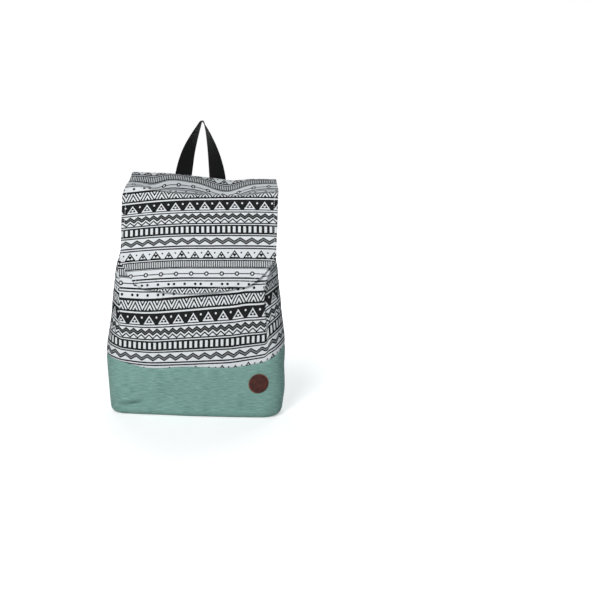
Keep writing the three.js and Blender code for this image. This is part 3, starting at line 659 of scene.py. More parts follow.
# Folds in the body's cloth, placed by distance round from the front middle and by height, in mm
bodyCloth = dict(
    across=[0, 133, 195, 255, 381],        # mm round to the front corner, the side, the rear corner, the back
    wobble=0.9, wobbleSize=80.0, wobbleSeed=5, rearFrom=0.6, rearCalm=0.4, topCalm=(345, 370),
    footCalm=(11, 20), underFlap=(222, 246), besideFlap=(122, 134), seamGroove=1.2, seamWidth=2.6,
    pull=(3.2, 10.5), pullAt=214.0, pullTall=48.0, pullStart=(60, 128), pullEnd=(136, 178),
    footFill=6.0, fillStart=(125, 175), fillEnd=(225, 300), fillTall=(35, 95),
    folds=[
        dict(start=(-144, 296), end=(-146, 180), width=6, height=-3),       # left gusset tucked in
        dict(start=(142, 304), end=(144, 176), width=6, height=-2.5),       # right gusset tucked in
        dict(start=(140, 288), end=(123, 244), width=5, height=5),          # ears beside the flap's corners
        dict(start=(-138, 288), end=(-134, 250), width=6, height=4.5),
        dict(start=(-166, 276), end=(-170, 236), width=20, height=3),       # sides blown out and drawn in
        dict(start=(170, 252), end=(174, 214), width=26, height=-5),
        dict(start=(-126, 15), end=(-97, 22), width=4.5, height=-7),        # boxed corner, lower left
        dict(start=(-144, 26), end=(-106, 31), width=6, height=6.5, fall=0.3),
        dict(start=(-60, 14), end=(-48, 44), width=13, height=-2.4),
        dict(start=(112, 10), end=(92, 34), width=9, height=-2.2),
        dict(start=(20, 10), end=(60, 26), width=12, height=-1.2),
        dict(start=(-120, 120), end=(-40, 150), width=14, height=1.4),
        dict(start=(118, 205), end=(40, 190), width=12, height=1.3),
        dict(start=(-118, 215), end=(-60, 196), width=11, height=-1.2)])


# The front corners are pulled in towards the middle where the flap ends, the right one more, and the right
# side is filled out at its foot
def pulledIn(points, u, heights):
    b, away = bodyCloth, np.abs(u)
    pull = np.where(u < 0, *b["pull"]) * np.exp(-((heights - b["pullAt"]) / b["pullTall"]) ** 2)
    pull = pull * easeBetween(away, *b["pullStart"]) * (1 - easeBetween(away, *b["pullEnd"]))
    points[..., 0] -= np.sign(u) * pull
    filled = easeBetween(u, *b["fillStart"]) * (1 - easeBetween(u, *b["fillEnd"]))
    points[..., 0] += b["footFill"] * filled * (1 - easeBetween(heights, *b["fillTall"]))
    return points


def clothAcross(turn):
    return np.sign(turn) * np.interp(np.abs(turn), turnMarks, bodyCloth["across"])


# How far folds and unevenness lift the cloth, none of it under the flap
def clothRise(points, turns, heights):
    b, u = bodyCloth, clothAcross(turns)
    rise = b["wobble"] * unevenness(points, b["wobbleSize"], b["wobbleSeed"])
    rise = rise * np.where(np.abs(turns) > b["rearFrom"], b["rearCalm"], 1.0)
    rise = rise * (1 - easeBetween(heights, *b["topCalm"]))
    rise = rise + foldHeight(u, heights, b["folds"]) * easeBetween(heights, *b["footCalm"])
    covered = easeBetween(heights, *b["underFlap"]) * (1 - easeBetween(np.abs(u), *b["besideFlap"]))
    return rise * (1 - covered)


# Outer face of the body's cloth with its folds; rows run up and columns round to the right
def bagSurface(turns, heights, outwards=0.0):
    turns, heights = np.broadcast_arrays(turns, heights)
    points = pulledIn(bodyPoint(turns, heights), clothAcross(turns), heights)
    fromSeam = (heights - seamHeight(turns)) / bodyCloth["seamWidth"]
    rise = clothRise(points, turns, heights) - bodyCloth["seamGroove"] * np.exp(-fromSeam ** 2)
    return points + gridNormals(points) * (rise + outwards)[..., None]


def closeRing(points):
    points[:, -1] = points[:, 0]
    return points


def middleOf(turns):
    return int(np.argmin(np.abs(turns)))


# Base: one green cloth folded under the bag
baseCloth = dict(thickness=2.2, rows=40, crowding=1.35, edgeRows=8, floorRows=9,
                 flat=(0.42, 0.32), area=0.107)


def makeBase():
    b, radius = baseCloth, body["edgeRadius"]
    levels = 1 - (1 - np.linspace(0, 1, b["rows"])) ** b["crowding"]
    heights = radius + (seamHeight(ringTurns)[None] - radius) * levels[:, None]
    wall = closeRing(bagSurface(ringTurns[None], heights))
    out = unit(gridNormals(bodyPoint(ringTurns[None], heights))[0] * np.array([1, 1, 0]))
    out[-1] = out[0]
    rows = []
    for angle in np.linspace(0, math.pi / 2, b["edgeRows"] + 1)[:-1]:
        row = wall[0] - out * radius * (1 - math.sin(angle))
        row[:, 2] = radius * (1 - math.cos(angle))
        rows.append(row)
    rim, edge, middle = rows[0], len(rows), middleOf(ringTurns)
    floor = [rim * share for share in np.linspace(0, 1, b["floorRows"])]
    sides = np.concatenate([np.array(rows), wall])
    along = runLength(sides, 1)
    along = along - along[:, [middle]]
    along[:edge] = along[edge]
    up = runLength(sides, 0)
    up[edge:] = up[[edge]] + heights - radius        # folds don't bend the weave
    floorCloth = np.array([np.stack([row[:, 0], row[:, 1] - rim[middle, 1]], -1) for row in floor])
    points = np.concatenate([np.array(floor), sides])
    cloth = np.concatenate([floorCloth, np.stack([along, up], -1)])
    return gridObject("base_cloth", points, cloth, slubCotton, b["thickness"], weld=True)


# Printed panels. The print starts where the photograph has it on the front; tilt is how far its bands lean,
# from the foot up. Pairs are left and right.
panelCloth = dict(
    thickness=2.2, rows=100, crowding=1.25, clear=0.3, top=382.0,
    startHeight=218.7, startAcross=13.4, tall=1.083, face=131.0, tilt=(1.4, 3.4), tiltAt=(92, 219),
    slide=dict(terms=(1.23, -4.56, 1.29, 1.19, -7.53, 0.57, -7.49), around=165, above=50),
    rise=(0.6, 1.0), lift=(0.31, 10.0), riseFade=(1, 0.5), riseAt=(100, 392),
    corner=134.0, cornerDip=(0.0, 5.5), gussetStep=(1.0, 8.0), gussetRise=(0.15, 0.0), gussetWide=60.0,
    dipAcross=(-48, 2), stepAcross=(0, 9), stepTall=(60, 190),
    flat=dict(front_panel=(0.40, 0.296), back_panel=(0.37, 0.296)))


# How far the print has slid down a sewn and pulled cloth, in mm, by place across and height
def printSlide(x, z, terms, around, above, below=80, left=131, right=145):
    x, z = np.clip(x, -left, right) / 100, np.clip(z - around, -below, above) / 100
    return sum(term * part for term, part in zip(terms, (1, x, x ** 2, x ** 3, z, x * z, z ** 2)))


# The print's place on the panel: straight on the back, slid and stepped at the corners on the front
def panelPrint(points, turns, heights, middle, front):
    p = panelCloth
    along = runLength(points, 1)
    along = along - along[:, [middle]]
    down = (p["startHeight"] - heights) / p["tall"]
    if front:
        across = np.clip(along, -p["face"], p["face"])
        lean = np.radians(np.interp(heights, p["tiltAt"], p["tilt"]))
        down = down + np.tan(lean) * across - printSlide(across, heights, **p["slide"]) / p["tall"]
        share, dip, step, rise = (np.where(turns < 0, *p[part])
                                  for part in ("rise", "cornerDip", "gussetStep", "gussetRise"))
        down = down + share * sideRise(turns, *p["lift"]) * np.interp(heights, p["riseAt"], p["riseFade"])
        behind = np.abs(clothAcross(turns)) - p["corner"]      # the gusset's cloth is set higher
        higher = (step * easeBetween(behind, *p["stepAcross"]) + rise * np.clip(behind, 0, p["gussetWide"])
                  - dip * easeBetween(behind, *p["dipAcross"]))
        down = down + higher * easeBetween(heights, *p["stepTall"])
    return np.stack([along + p["startAcross"], down], -1)


def makePanel(name, turns):
    p, front = panelCloth, name == "front_panel"
    levels = np.linspace(0, 1, p["rows"]) ** p["crowding"]
    start = seamHeight(turns)[None] + p["clear"]
    heights = start + (p["top"] - start) * levels[:, None]
    spread = np.broadcast_to(turns[None], heights.shape)
    points = bagSurface(spread, heights)
    middle = middleOf(turns) if front else len(turns) // 2
    cloth = panelPrint(points, spread, heights, middle, front)
    return gridObject(name + "_cloth", points, cloth, printedCotton, p["thickness"])


# Lining: a loose black inner bag. Its floor is drawn by share of the foot's size and height.
liningCloth = dict(thickness=0.9, inset=3.2, foot=44.0, footInset=6.0, footEase=40.0, waist=(110, 116),
                   top=381.0, floor=3.4, floorShare=0.88, turnUp=[(0.92, 8.0), (0.94, 20.0), (0.97, 34.0)],
                   rows=(20, 48), floorRows=10, flat=(0.80, 0.49), area=0.33)


def makeLiningBag():
    spec, foot = liningCloth, liningCloth["foot"]
    (low, high), (below, above) = spec["waist"], spec["rows"]
    heights = np.concatenate([np.linspace(foot, low, below), np.linspace(high, spec["top"], above)])[:, None]
    loose = spec["inset"] + spec["footInset"] * (1 - easeBetween(heights, foot, foot + spec["footEase"]))
    wall = closeRing(bagSurface(ringTurns[None, ::2], heights, -loose))
    inner = np.linspace(0, spec["floorShare"], spec["floorRows"])
    lower = [(share, spec["floor"]) for share in inner] + spec["turnUp"]
    floor = [wall[0] * np.array([share, share, 0]) + np.array([0, 0, z]) for share, z in lower]
    points = np.concatenate([np.array(floor), wall])
    cloth = np.stack([runLength(points, 1), runLength(points, 0)], -1)
    return gridObject("lining_bag", points, cloth, liningCotton, spec["thickness"], weld=True)


# Flap: sewn to the back below the rim, over the mouth and down the front, with cut-off lower corners.
# Heights are of its outer face; along the mouth its edges rise towards the ends, most on the left.
# Pairs are spans that a change runs over, dips and hollows a place, a width and a depth. A turn gives
# places backwards and up from its edge, the back's with their share of the hollow.
flapCloth = dict(
    centre=5.5, halfWidth=136.5, wall=2.4, proud=3.7, rearFoot=372.0, frontTop=380.0,
    rows=90, columns=(31, 81), inner=0.62,
    hemLow=223.2, hemLowAt=-20.0, hemCurve=0.00113, hemCurl=2.4, cornerCurl=2.6, curlTall=9.0,
    corners=((-1, 46.0, 40.0), (1, 56.0, 34.0)), cornerCurve=2.0,        # side, width and rise
    frontEdge=dict(middle=392.0, left=13.0, leftSpan=(26, 132), right=7.0, rightSpan=(66, 146),
                   dips=[(0, 16, 1.5)], below=6.0, belowOut=0.6, belowSag=3.0,
                   turn=[(-0.8, -5), (0.5, 1), (9, 2.2)]),
    backEdge=dict(left=426.0, right=420.0, span=(-80, 30), dips=[(58, 26, 3.5)], inside=6.0,
                  turn=[(-17, -2.5, 0.35), (-1, 1.6, 0.0), (5, -7, 0.0)], down=(396.0, 384.0)),
    slack=2.0, slackDepth=(0.35, 0.1), slackRise=0.42, hollows=[(-80, 24, 9.0), (48, 42, 17.0)],
    tuck=9.5, tuckTall=(384, 420), tuckAcross=(60, 132),
    rearTuck=6.0, rearDeep=(-25, 25), rearAcross=(40, 142),
    hemDown=184.4, across=-5.5, tilt=1.4, leftDrop=8.0, leftWide=105.0,
    topLeftDrop=2.0, dropAcross=(45, 100), dropDeep=(-39, -24),
    topLeftRise=14.0, riseAcross=(-66, 52), riseDeep=(-28, 24),
    narrow=(1, 0.965), narrowTall=(227, 380), topSpread=5.3, spreadTall=(265, 395), spreadWide=130.0,
    slide=dict(terms=(-3.64, -0.45, -0.45, 1.1, 1.13, -1.01, -2.79), around=300, above=90),
    flat=(0.274, 0.31), area=0.082, wobble=0.8, wobbleSize=75.0, wobbleSeed=11, wobbleUp=0.9,
    calm=(20, 40), deepest=-0.6,
    folds=[dict(start=(-84, 385), end=(-80, 300), width=18, height=-1.6, fall=0.8),
           dict(start=(52, 388), end=(58, 290), width=20, height=-1.8, fall=0.8),
           dict(start=(-20, 385), end=(-30, 300), width=24, height=1.4, fall=0.8)])


def bezier(start, first, second, end, count):
    t = np.linspace(0, 1, count)[:, None]
    start, first, second, end = (np.array(p, float) for p in (start, first, second, end))
    return start * (1 - t) ** 3 + 3 * first * t * (1 - t) ** 2 + 3 * second * t * t * (1 - t) + end * t ** 3


# Corners of a drawn line cut off, a few times over
def softened(line, times=3):
    line = np.array(line, float)
    for _ in range(times):
        first = line[:-1] * 0.75 + line[1:] * 0.25
        second = line[:-1] * 0.25 + line[1:] * 0.75
        cut = np.stack([first, second], 1).reshape((-1,) + line.shape[1:])
        line = np.concatenate([line[:1], cut, line[-1:]])
    return line


def dips(x, places):
    return sum(depth * np.exp(-((x - at) / width) ** 2) for at, width, depth in places)


# The flap's section over the mouth, from its front edge to its rear foot, one line for each place across
def flapOver(x):
    f, rim, front, back = flapCloth, body["rim"], flapCloth["frontEdge"], flapCloth["backEdge"]

    def onFace(half, z):
        return faceDepth(body[half], x, np.full_like(x, z)) + f["proud"]

    zf = (front["middle"] + front["left"] * easeBetween(-x, *front["leftSpan"])
          + front["right"] * easeBetween(x, *front["rightSpan"]) - dips(x, front["dips"]))
    zb = (back["left"] + (back["right"] - back["left"]) * easeBetween(x, *back["span"])
          - dips(x, back["dips"]))
    yf, yb = -onFace("front", rim), onFace("back", rim) - back["inside"]
    hollow = f["slack"] + dips(x, f["hollows"])
    nearFront, nearBack = f["slackDepth"]
    line = [(-onFace("front", f["frontTop"]), f["frontTop"]),
            (-onFace("front", rim - front["below"]) - front["belowOut"],
             (f["frontTop"] + zf) / 2 - front["belowSag"])]
    line += [(yf + behind, zf + up) for behind, up in front["turn"]]
    line += [(yf * nearFront + yb * nearBack, zf + (zb - zf) * f["slackRise"] - hollow)]
    line += [(yb + behind, zb + up - hollow * share) for behind, up, share in back["turn"]]
    line += [(onFace("back", z), z) for z in (*back["down"], f["rearFoot"])]
    line = softened(np.array([np.stack(np.broadcast_arrays(y, z), -1) for y, z in line]))
    over = np.concatenate([np.broadcast_to(x[None, :, None], line.shape[:2] + (1,)), line], -1)
    tuck = f["tuck"] * easeBetween(over[..., 2], *f["tuckTall"]) * easeBetween(-x, *f["tuckAcross"])
    rear = f["rearTuck"] * easeBetween(over[..., 1], *f["rearDeep"]) * easeBetween(x, *f["rearAcross"])
    over[..., 0] += tuck - rear
    return over


# Rows from the front hem up, over the mouth and down to the rear foot, one column for each place across
def flapPoints(columns):
    f = flapCloth
    x = f["centre"] + columns * f["halfWidth"]
    hem = f["hemLow"] + f["hemCurve"] * (x - f["hemLowAt"]) ** 2
    corner = np.zeros_like(x)
    for side, width, rise in f["corners"]:
        share = np.clip(1 - (f["halfWidth"] - side * columns * f["halfWidth"]) / width, 0, 1)
        hem = hem + rise * share ** f["cornerCurve"]
        corner = corner + np.sqrt(share)
    z = hem[None] + (f["frontTop"] - hem[None]) * np.linspace(0, 1, f["rows"])[:-1, None]
    across = np.broadcast_to(x[None], z.shape)
    curl = (f["hemCurl"] + f["cornerCurl"] * corner[None]) * np.exp(-((z - hem[None]) / f["curlTall"]) ** 2)
    face = np.stack([across, -faceDepth(body["front"], across, z) - f["proud"] - curl, z], -1)
    return np.concatenate([face, flapOver(x)]), len(face)


# The print's own place on the flap: level on the front, by length along the cloth over the mouth
def flapPrint(points, frontRows):
    f = flapCloth
    middle = int(np.argmin(points[0, :, 2]))
    up = runLength(points, 0)
    height = np.interp(points[..., 2], points[:frontRows, middle, 2], up[:frontRows, middle])
    beyond = up - up[[frontRows - 1]] + height[[frontRows - 1]]
    length = np.where(np.arange(len(points))[:, None] < frontRows, height, beyond)
    x, y, z = (points[..., axis] for axis in range(3))
    down = f["hemDown"] - length + math.tan(math.radians(f["tilt"])) * x
    down = down - f["leftDrop"] * (np.minimum(x, 0) / f["leftWide"]) ** 2 - printSlide(x, z, **f["slide"])
    down = down - f["topLeftDrop"] * easeBetween(-x, *f["dropAcross"]) * easeBetween(y, *f["dropDeep"])
    down = down + f["topLeftRise"] * (1 - easeBetween(x, *f["riseAcross"])) * easeBetween(y, *f["riseDeep"])
    narrow = np.interp(z, f["narrowTall"], f["narrow"])
    spread = f["topSpread"] * np.interp(z, f["spreadTall"], (0, 1))
    spread = spread * (1 - np.clip(x / f["spreadWide"], 0, 1))
    return np.stack([x / narrow + f["across"] + spread, down], -1)


def makeFlap():
    f = flapCloth
    inner, (few, many) = f["inner"], f["columns"]
    columns = np.concatenate([np.linspace(-1, -inner, few), np.linspace(-inner, inner, many)[1:],
                              np.linspace(inner, 1, few)[1:]])
    points, frontRows = flapPoints(columns)
    rise = f["wobble"] * (unevenness(points, f["wobbleSize"], f["wobbleSeed"]) + f["wobbleUp"])
    rise = rise + foldHeight(points[..., 0], points[..., 2], f["folds"])
    rise = rise * easeBetween(-points[..., 1], *f["calm"])
    points = points + gridNormals(points) * np.maximum(rise, f["deepest"])[..., None]
    return gridObject("flap_cloth", points, flapPrint(points, frontRows), printedCotton, f["wall"]), points


basePiece = makeBase()
frontPanel = makePanel("front_panel", frontTurns)
backPanel = makePanel("back_panel", backTurns)
liningPiece = makeLiningBag()
flapPiece, flapFace = makeFlap()
print("cloth pieces made")


# Webbing: a band of the same section all along, drawn round a middle line
webbingBand = dict(width=30.0, thickness=1.6, edge=0.7, edgePoints=6, facePoints=9)


def bandSection():
    half, thick, edge = webbingBand["width"] / 2, webbingBand["thickness"] / 2, webbingBand["edge"]
    turns = np.linspace(-math.pi / 2, math.pi / 2, webbingBand["edgePoints"])
    right = [(half - edge + edge * math.cos(t), thick * math.sin(t)) for t in turns]
    top = [(x, thick) for x in np.linspace(half - edge, edge - half, webbingBand["facePoints"])[1:-1]]
    ring = right + top + [(-x, -y) for x, y in right] + [(-x, -y) for x, y in top]
    return np.array(ring + ring[:1])


# Faces of a closed piece turned outwards
def tidyMesh(piece):
    work = bmesh.new()
    work.from_mesh(piece.data)
    bmesh.ops.recalc_face_normals(work, faces=work.faces)
    work.to_mesh(piece.data)
    work.free()
    return piece


def lineLength(line):
    return np.concatenate([[0], np.cumsum(np.linalg.norm(np.diff(line, axis=0), axis=1))])


def makeBand(name, line, across):
    section = bandSection()
    thick = unit(np.cross(across, unit(np.gradient(line, axis=0))))
    points = line[:, None] + across[:, None] * section[None, :, :1] + thick[:, None] * section[None, :, 1:]
    length = lineLength(line)
    cloth = np.stack([np.broadcast_to(section[None, :, 0], points.shape[:2]),
                      np.broadcast_to(length[:, None], points.shape[:2])], -1)
    points = np.concatenate([np.broadcast_to(line[:1, None], points[:1].shape), points,
                             np.broadcast_to(line[-1:, None], points[:1].shape)])
    cloth = np.concatenate([cloth[:1], cloth, cloth[-1:]])
    piece = gridObject(name, points, cloth, webbing, weld=True)
    return tidyMesh(piece), float(length[-1])


# Smooth line through places, evenly stepped (centripetal Catmull-Rom)
def throughPlaces(places, steps):
    places = np.array(places, float)
    ends = np.concatenate([[2 * places[0] - places[1]], places, [2 * places[-1] - places[-2]]])
    line = []
    for p0, p1, p2, p3 in zip(ends, ends[1:], ends[2:], ends[3:]):
        d0, d1, d2 = (max(np.linalg.norm(b - a) ** 0.5, 1e-6) for a, b in ((p0, p1), (p1, p2), (p2, p3)))
        m1 = ((p1 - p0) / d0 - (p2 - p0) / (d0 + d1) + (p2 - p1) / d1) * d1
        m2 = ((p2 - p1) / d1 - (p3 - p1) / (d1 + d2) + (p3 - p2) / d2) * d1
        t = np.linspace(0, 1, 40)[:-1, None]
        line.append(p1 + m1 * t + (3 * (p2 - p1) - 2 * m1 - m2) * t ** 2
                    + (2 * (p1 - p2) + m1 + m2) * t ** 3)
    line = np.concatenate(line + [places[-1:]])
    return evenSteps(line, steps)


def evenSteps(line, steps):
    length = lineLength(line)
    even = np.linspace(0, length[-1], steps)
    return np.stack([np.interp(even, length, line[:, axis]) for axis in range(line.shape[1])], -1)


# Carry handle: one loop, flat where it is sewn to the back and a quarter turned where it is held.
# lead is the run above the seam before the sides bow, with its lean on the left and on the right.
handle = dict(centre=-2.0, spacing=64.0, rise=128.0, footUp=2.0, sewn=34.0, lead=14.0, lean=(2.0, -1.0),
              turnRadius=7.0, turnTall=1.8, bowLeft=3.0, bowRight=2.5, apexShift=2.0, gap=0.3, steps=150)
handleFoot = flapCloth["rearFoot"] + handle["footUp"]
handleSides = [handle["centre"] - handle["spacing"] / 2, handle["centre"] + handle["spacing"] / 2]


# Outer face of the flap's rear hem
def hemOuterY(x, z):
    return faceDepth(body["back"], x, z) + flapCloth["proud"] - 0.1


def makeHandle():
    h, (left, right) = handle, handleSides
    sewnTop, apex = handleFoot + h["sewn"], body["rim"] + h["rise"]
    turn, top, half = h["turnRadius"], h["centre"] + h["apexShift"], (sewnTop + apex) / 2
    shoulder = apex - turn * h["turnTall"]
    places = [(left, handleFoot), (left, sewnTop), (left + h["lean"][0], sewnTop + h["lead"]),
              ((left + top - turn) / 2 - h["bowLeft"], half),
              (top - turn, shoulder), (top, apex), (top + turn, shoulder),
              ((right + top + turn) / 2 + h["bowRight"], half),
              (right + h["lean"][1], sewnTop + h["lead"]), (right, sewnTop), (right, handleFoot)]
    y = float(hemOuterY(0.0, handleFoot)) + h["gap"] + webbingBand["thickness"] / 2
    line = throughPlaces([(x, y, z) for x, z in places], h["steps"])
    backwards = np.array([0.0, 1.0, 0.0])
    flat = unit(np.cross(backwards, unit(np.gradient(line, axis=0))))
    turned = np.clip((line[:, 2] - sewnTop) / (apex - sewnTop), 0, 1)[:, None] * math.pi / 2
    return makeBand("carry_handle_webbing", line, flat * np.cos(turned) + backwards * np.sin(turned))


# Shoulder straps: sewn under the flap's rear hem, down to a ring in a tab, back up to a slide
strap = dict(topSpread=144.0, topUp=6.0, footSpread=196.0, footHeight=46.0, sewn=26.0, topEase=1.3,
             run=175.0, runAngle=9.0, slack=75.0, tab=30.0, ringWire=3.2, ringPitch=16.0, ringSide=1.0,
             barRadius=1.5, slidePlace=95.0, approach=34.0, bendOff=7.0, tail=32.0, gap=0.3,
             steps=dict(shoulder_strap=220, strap_return=120, ring_tab=60))
runAngle = math.radians(strap["runAngle"])
halfWeb = webbingBand["thickness"] / 2
barOffset = halfWeb * 3 + strap["gap"] * 2 + strap["barRadius"]
slideWrap = strap["barRadius"] + strap["gap"] + halfWeb
tabWrap = strap["ringWire"] / 2 + strap["gap"] * 1.5 + halfWeb


# Outward direction of the body at one place, evened over a corner
def bodyOut(turn, z, step=0.004):
    here = bodyPoint(turn, z)
    up = bodyPoint(turn, z + 0.5) - bodyPoint(turn, z - 0.5)
    after = np.cross(bodyPoint(turn + step, z) - here, up)
    before = np.cross(here - bodyPoint(turn - step, z), up)
    return unit(unit(after) + unit(before))


# Frame of one strap: across it, out of the back and up towards its top end
def strapFrame(hand):
    s, footZ, topZ = strap, strap["footHeight"], body["rim"] + strap["topUp"]
    footX, topX = s["footSpread"] / 2, hand * s["topSpread"] / 2
    turn = hand * (1 - footX / float(measure(body["back"]["face"], footZ)) * (1 - backStart))
    out = bodyOut(turn, footZ)
    origin = bodyPoint(turn, footZ) + out * (tabWrap + halfWeb + s["gap"] * 2)

    def onHem(z):
        return np.array([topX, float(hemOuterY(topX, z)) + halfWeb + s["topEase"], z]) - origin

    top, end = onHem(topZ), onHem(topZ - s["sewn"])
    up = unit(top - out * (top @ out))
    return dict(origin=origin, axes=np.array([np.cross(out, up), out, up]),
                top=np.array([top @ out, top @ up]), sewnEnd=np.array([end @ out, end @ up]))


# Places beside the doubled run: how far out of it and how far up it from the ring's upper bar
def besideRun(places):
    places = np.array(places, float)
    outward, along = places[..., 0], strap["ringPitch"] + places[..., 1]
    return np.stack([along * math.sin(runAngle) + outward * math.cos(runAngle),
                     along * math.cos(runAngle) - outward * math.sin(runAngle)], -1)


def arc(centre, radius, start, end, count=24):
    angles = np.linspace(start, end, count)
    return np.stack([centre[0] + radius * np.cos(angles), centre[1] + radius * np.sin(angles)], -1)


# A line drawn out of the back and up the strap, set in its place
def placed(seat, line):
    axes = seat["axes"]
    return seat["origin"] + line[:, :1] * axes[1] + line[:, 1:] * axes[2]


def bandOn(name, seat, line, steps):
    points = placed(seat, evenSteps(np.array(line), steps))
    return makeBand(name, points, np.broadcast_to(seat["axes"][0], points.shape))


def strapLine(seat):
    top, sewnEnd = seat["top"], seat["sewnEnd"]
    downHem = unit(sewnEnd - top) * strap["slack"]
    runTop, beforeRun = besideRun([(barOffset, strap["run"]), (barOffset, strap["run"] + strap["slack"])])
    bow = bezier(sewnEnd, sewnEnd + downHem, beforeRun, runTop, 70)
    bend = besideRun(arc((0, 0), barOffset, 0, -math.pi))
    return np.concatenate([[top], bow, bend])


def returnLine():
    place, bend = strap["slidePlace"], strap["bendOff"]
    sewn = slideWrap - webbingBand["thickness"] - strap["gap"]
    start = softened([(-barOffset, strap["gap"]), (-slideWrap, place - strap["approach"]),
                      (-slideWrap, place)])
    end = softened([(slideWrap, place), (slideWrap - sewn * 0.5, place - bend), (-sewn, place - bend * 2),
                    (-sewn, place - strap["tail"])])
    return besideRun(np.concatenate([start, arc((0, place), slideWrap, math.pi, 0)[1:-1], end]))


def tabLine():
    outer = webbingBand["thickness"] + strap["gap"] - tabWrap
    length = strap["tab"]
    back = [(-tabWrap, -length), (-tabWrap, -length / 2)]
    front = softened([(tabWrap, 0), ((tabWrap + outer) / 2, -length / 5), (outer, -length / 2.5),
                      (outer, -length)])
    return np.concatenate([back, arc((0, 0), tabWrap, math.pi, 0)[:-1], front])


# Ring of round wire bent to a rectangle
def makeRing(name, seat):
    wire, pitch = strap["ringWire"], strap["ringPitch"]
    half = webbingBand["width"] / 2 + strap["ringSide"] + wire / 2
    corner = wire
    corners = [(half - corner, corner, -0.5), (half - corner, pitch - corner, 0.0),
               (corner - half, pitch - corner, 0.5), (corner - half, corner, 1.0)]
    path, angles = [], []
    for x, z, start in corners:
        for angle in np.linspace(start * math.pi, (start + 0.5) * math.pi, 9):
            path.append((x + corner * math.cos(angle), z + corner * math.sin(angle)))
            angles.append(angle)
    path, angles = np.array(path + path[:1]), np.array(angles + [angles[0] + 2 * math.pi])
    turns = np.linspace(0, 2 * math.pi, 19)
    out = wire / 2 * np.cos(turns)
    x = path[:, :1] + out[None] * np.cos(angles)[:, None]
    z = path[:, 1:] + out[None] * np.sin(angles)[:, None]
    y = np.broadcast_to(wire / 2 * np.sin(turns)[None], x.shape)
    cosine, sine = math.cos(runAngle), math.sin(runAngle)
    leant = np.stack([x, y * cosine + z * sine, z * cosine - y * sine], -1)
    points = seat["origin"] + leant @ seat["axes"]
    cloth = np.zeros(points.shape[:2] + (2,))
    return tidyMesh(gridObject(name, points, cloth, nickel, weld=True))


# Slide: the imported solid's own form with its edges broken; angles in degrees
slideEdge = dict(width=0.45, segments=3, sharp=28.0, flat=2.0)


def makeSlide(name):
    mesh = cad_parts[name].data.copy()
    mesh.materials.clear()
    mesh.materials.append(nickel)
    work = bmesh.new()
    work.from_mesh(mesh)
    bmesh.ops.remove_doubles(work, verts=work.verts, dist=1e-6)
    bmesh.ops.dissolve_limit(work, angle_limit=math.radians(slideEdge["flat"]), verts=work.verts,
                             edges=work.edges)
    work.to_mesh(mesh)
    work.free()
    piece = bpy.data.objects.new(name + "_plated", mesh)
    scene.collection.objects.link(piece)
    broken = piece.modifiers.new("broken edges", "BEVEL")
    broken.width = slideEdge["width"] * mm
    broken.segments = slideEdge["segments"]
    broken.limit_method = "ANGLE"
    broken.angle_limit = math.radians(slideEdge["sharp"])
    broken.harden_normals = False
    mesh.shade_smooth()
    return piece


# Leather patch: a die-cut disc that follows the cloth, pressed down round its edge and a little out of round.
# The profile gives shares of its radius and thickness, from the middle out and back underneath.
patch = dict(radius=18.0, thickness=2.0, across=117.0, height=64.0, gap=0.5, drawn=(1.03, 0.94), lean=35.0,
             profile=[(0, 1), (0.3, 1), (0.55, 1), (0.75, 1), (0.87, 0.99), (0.93, 0.96), (0.965, 0.9),
                      (0.985, 0.78), (0.997, 0.6), (1, 0.35), (1, 0), (0.6, 0), (0, 0)])


# Turn of the body at a distance round from the front middle
def turnAt(distance, z):
    turns = np.linspace(0, 0.5, 400)
    line = bodyPoint(turns[None], z[:, None])
    length = runLength(line, 1)
    return np.array([np.interp(d, row, turns) for d, row in zip(distance, length)])


def makePatch(step=0.003):
    p = patch
    angles, lean = np.linspace(0, 2 * math.pi, 97), math.radians(p["lean"])
    far, near = p["drawn"][0] * np.cos(angles), p["drawn"][1] * np.sin(angles)
    sideways = far * math.cos(lean) - near * math.sin(lean)
    upwards = far * math.sin(lean) + near * math.cos(lean)
    rounds, cloth = [], []
    for share, lift in p["profile"]:
        reach = p["radius"] * share
        z = p["height"] + reach * upwards
        turn = turnAt(p["across"] + reach * sideways, z)
        here = bodyPoint(turn, z)
        up = bodyPoint(turn, z + 0.5) - bodyPoint(turn, z - 0.5)
        side = bodyPoint(turn + step, z) - bodyPoint(turn - step, z)
        out = unit(np.cross(side, up))
        rounds.append(here + out * (clothRise(here, turn, z) + p["gap"] + p["thickness"] * lift)[:, None])
        cloth.append(np.stack([reach * sideways, reach * upwards], -1))
    piece = gridObject("leather_patch_disc", np.array(rounds), np.array(cloth), leather, weld=True)
    return tidyMesh(piece)


handlePiece, handleLength = makeHandle()
patchPiece = makePatch()
bands, rings, slides, seats = {}, {}, {}, {}
for side, hand in (("left", -1), ("right", 1)):
    seat = seats[side] = strapFrame(hand)
    for kind, line in (("shoulder_strap", strapLine(seat)), ("strap_return", returnLine()),
                       ("ring_tab", tabLine())):
        bands[kind + "_" + side] = bandOn(kind + "_webbing_" + side, seat, line, strap["steps"][kind])
    rings[side] = makeRing("strap_ring_wire_" + side, seat)
    slides[side] = makeSlide("strap_slide_" + side)
print("webbing, rings, slides and patch made")


# Sewing: rows of stitches along drawn lines, one thread for the flap's edge and one for the webbing
stitch = dict(pitch=3.6, length=2.9, width=0.8, flapInset=6.5, boxHalf=11.5, boxInset=3.0, endClear=6.0,
              tabShare=0.42, lift=0.15)


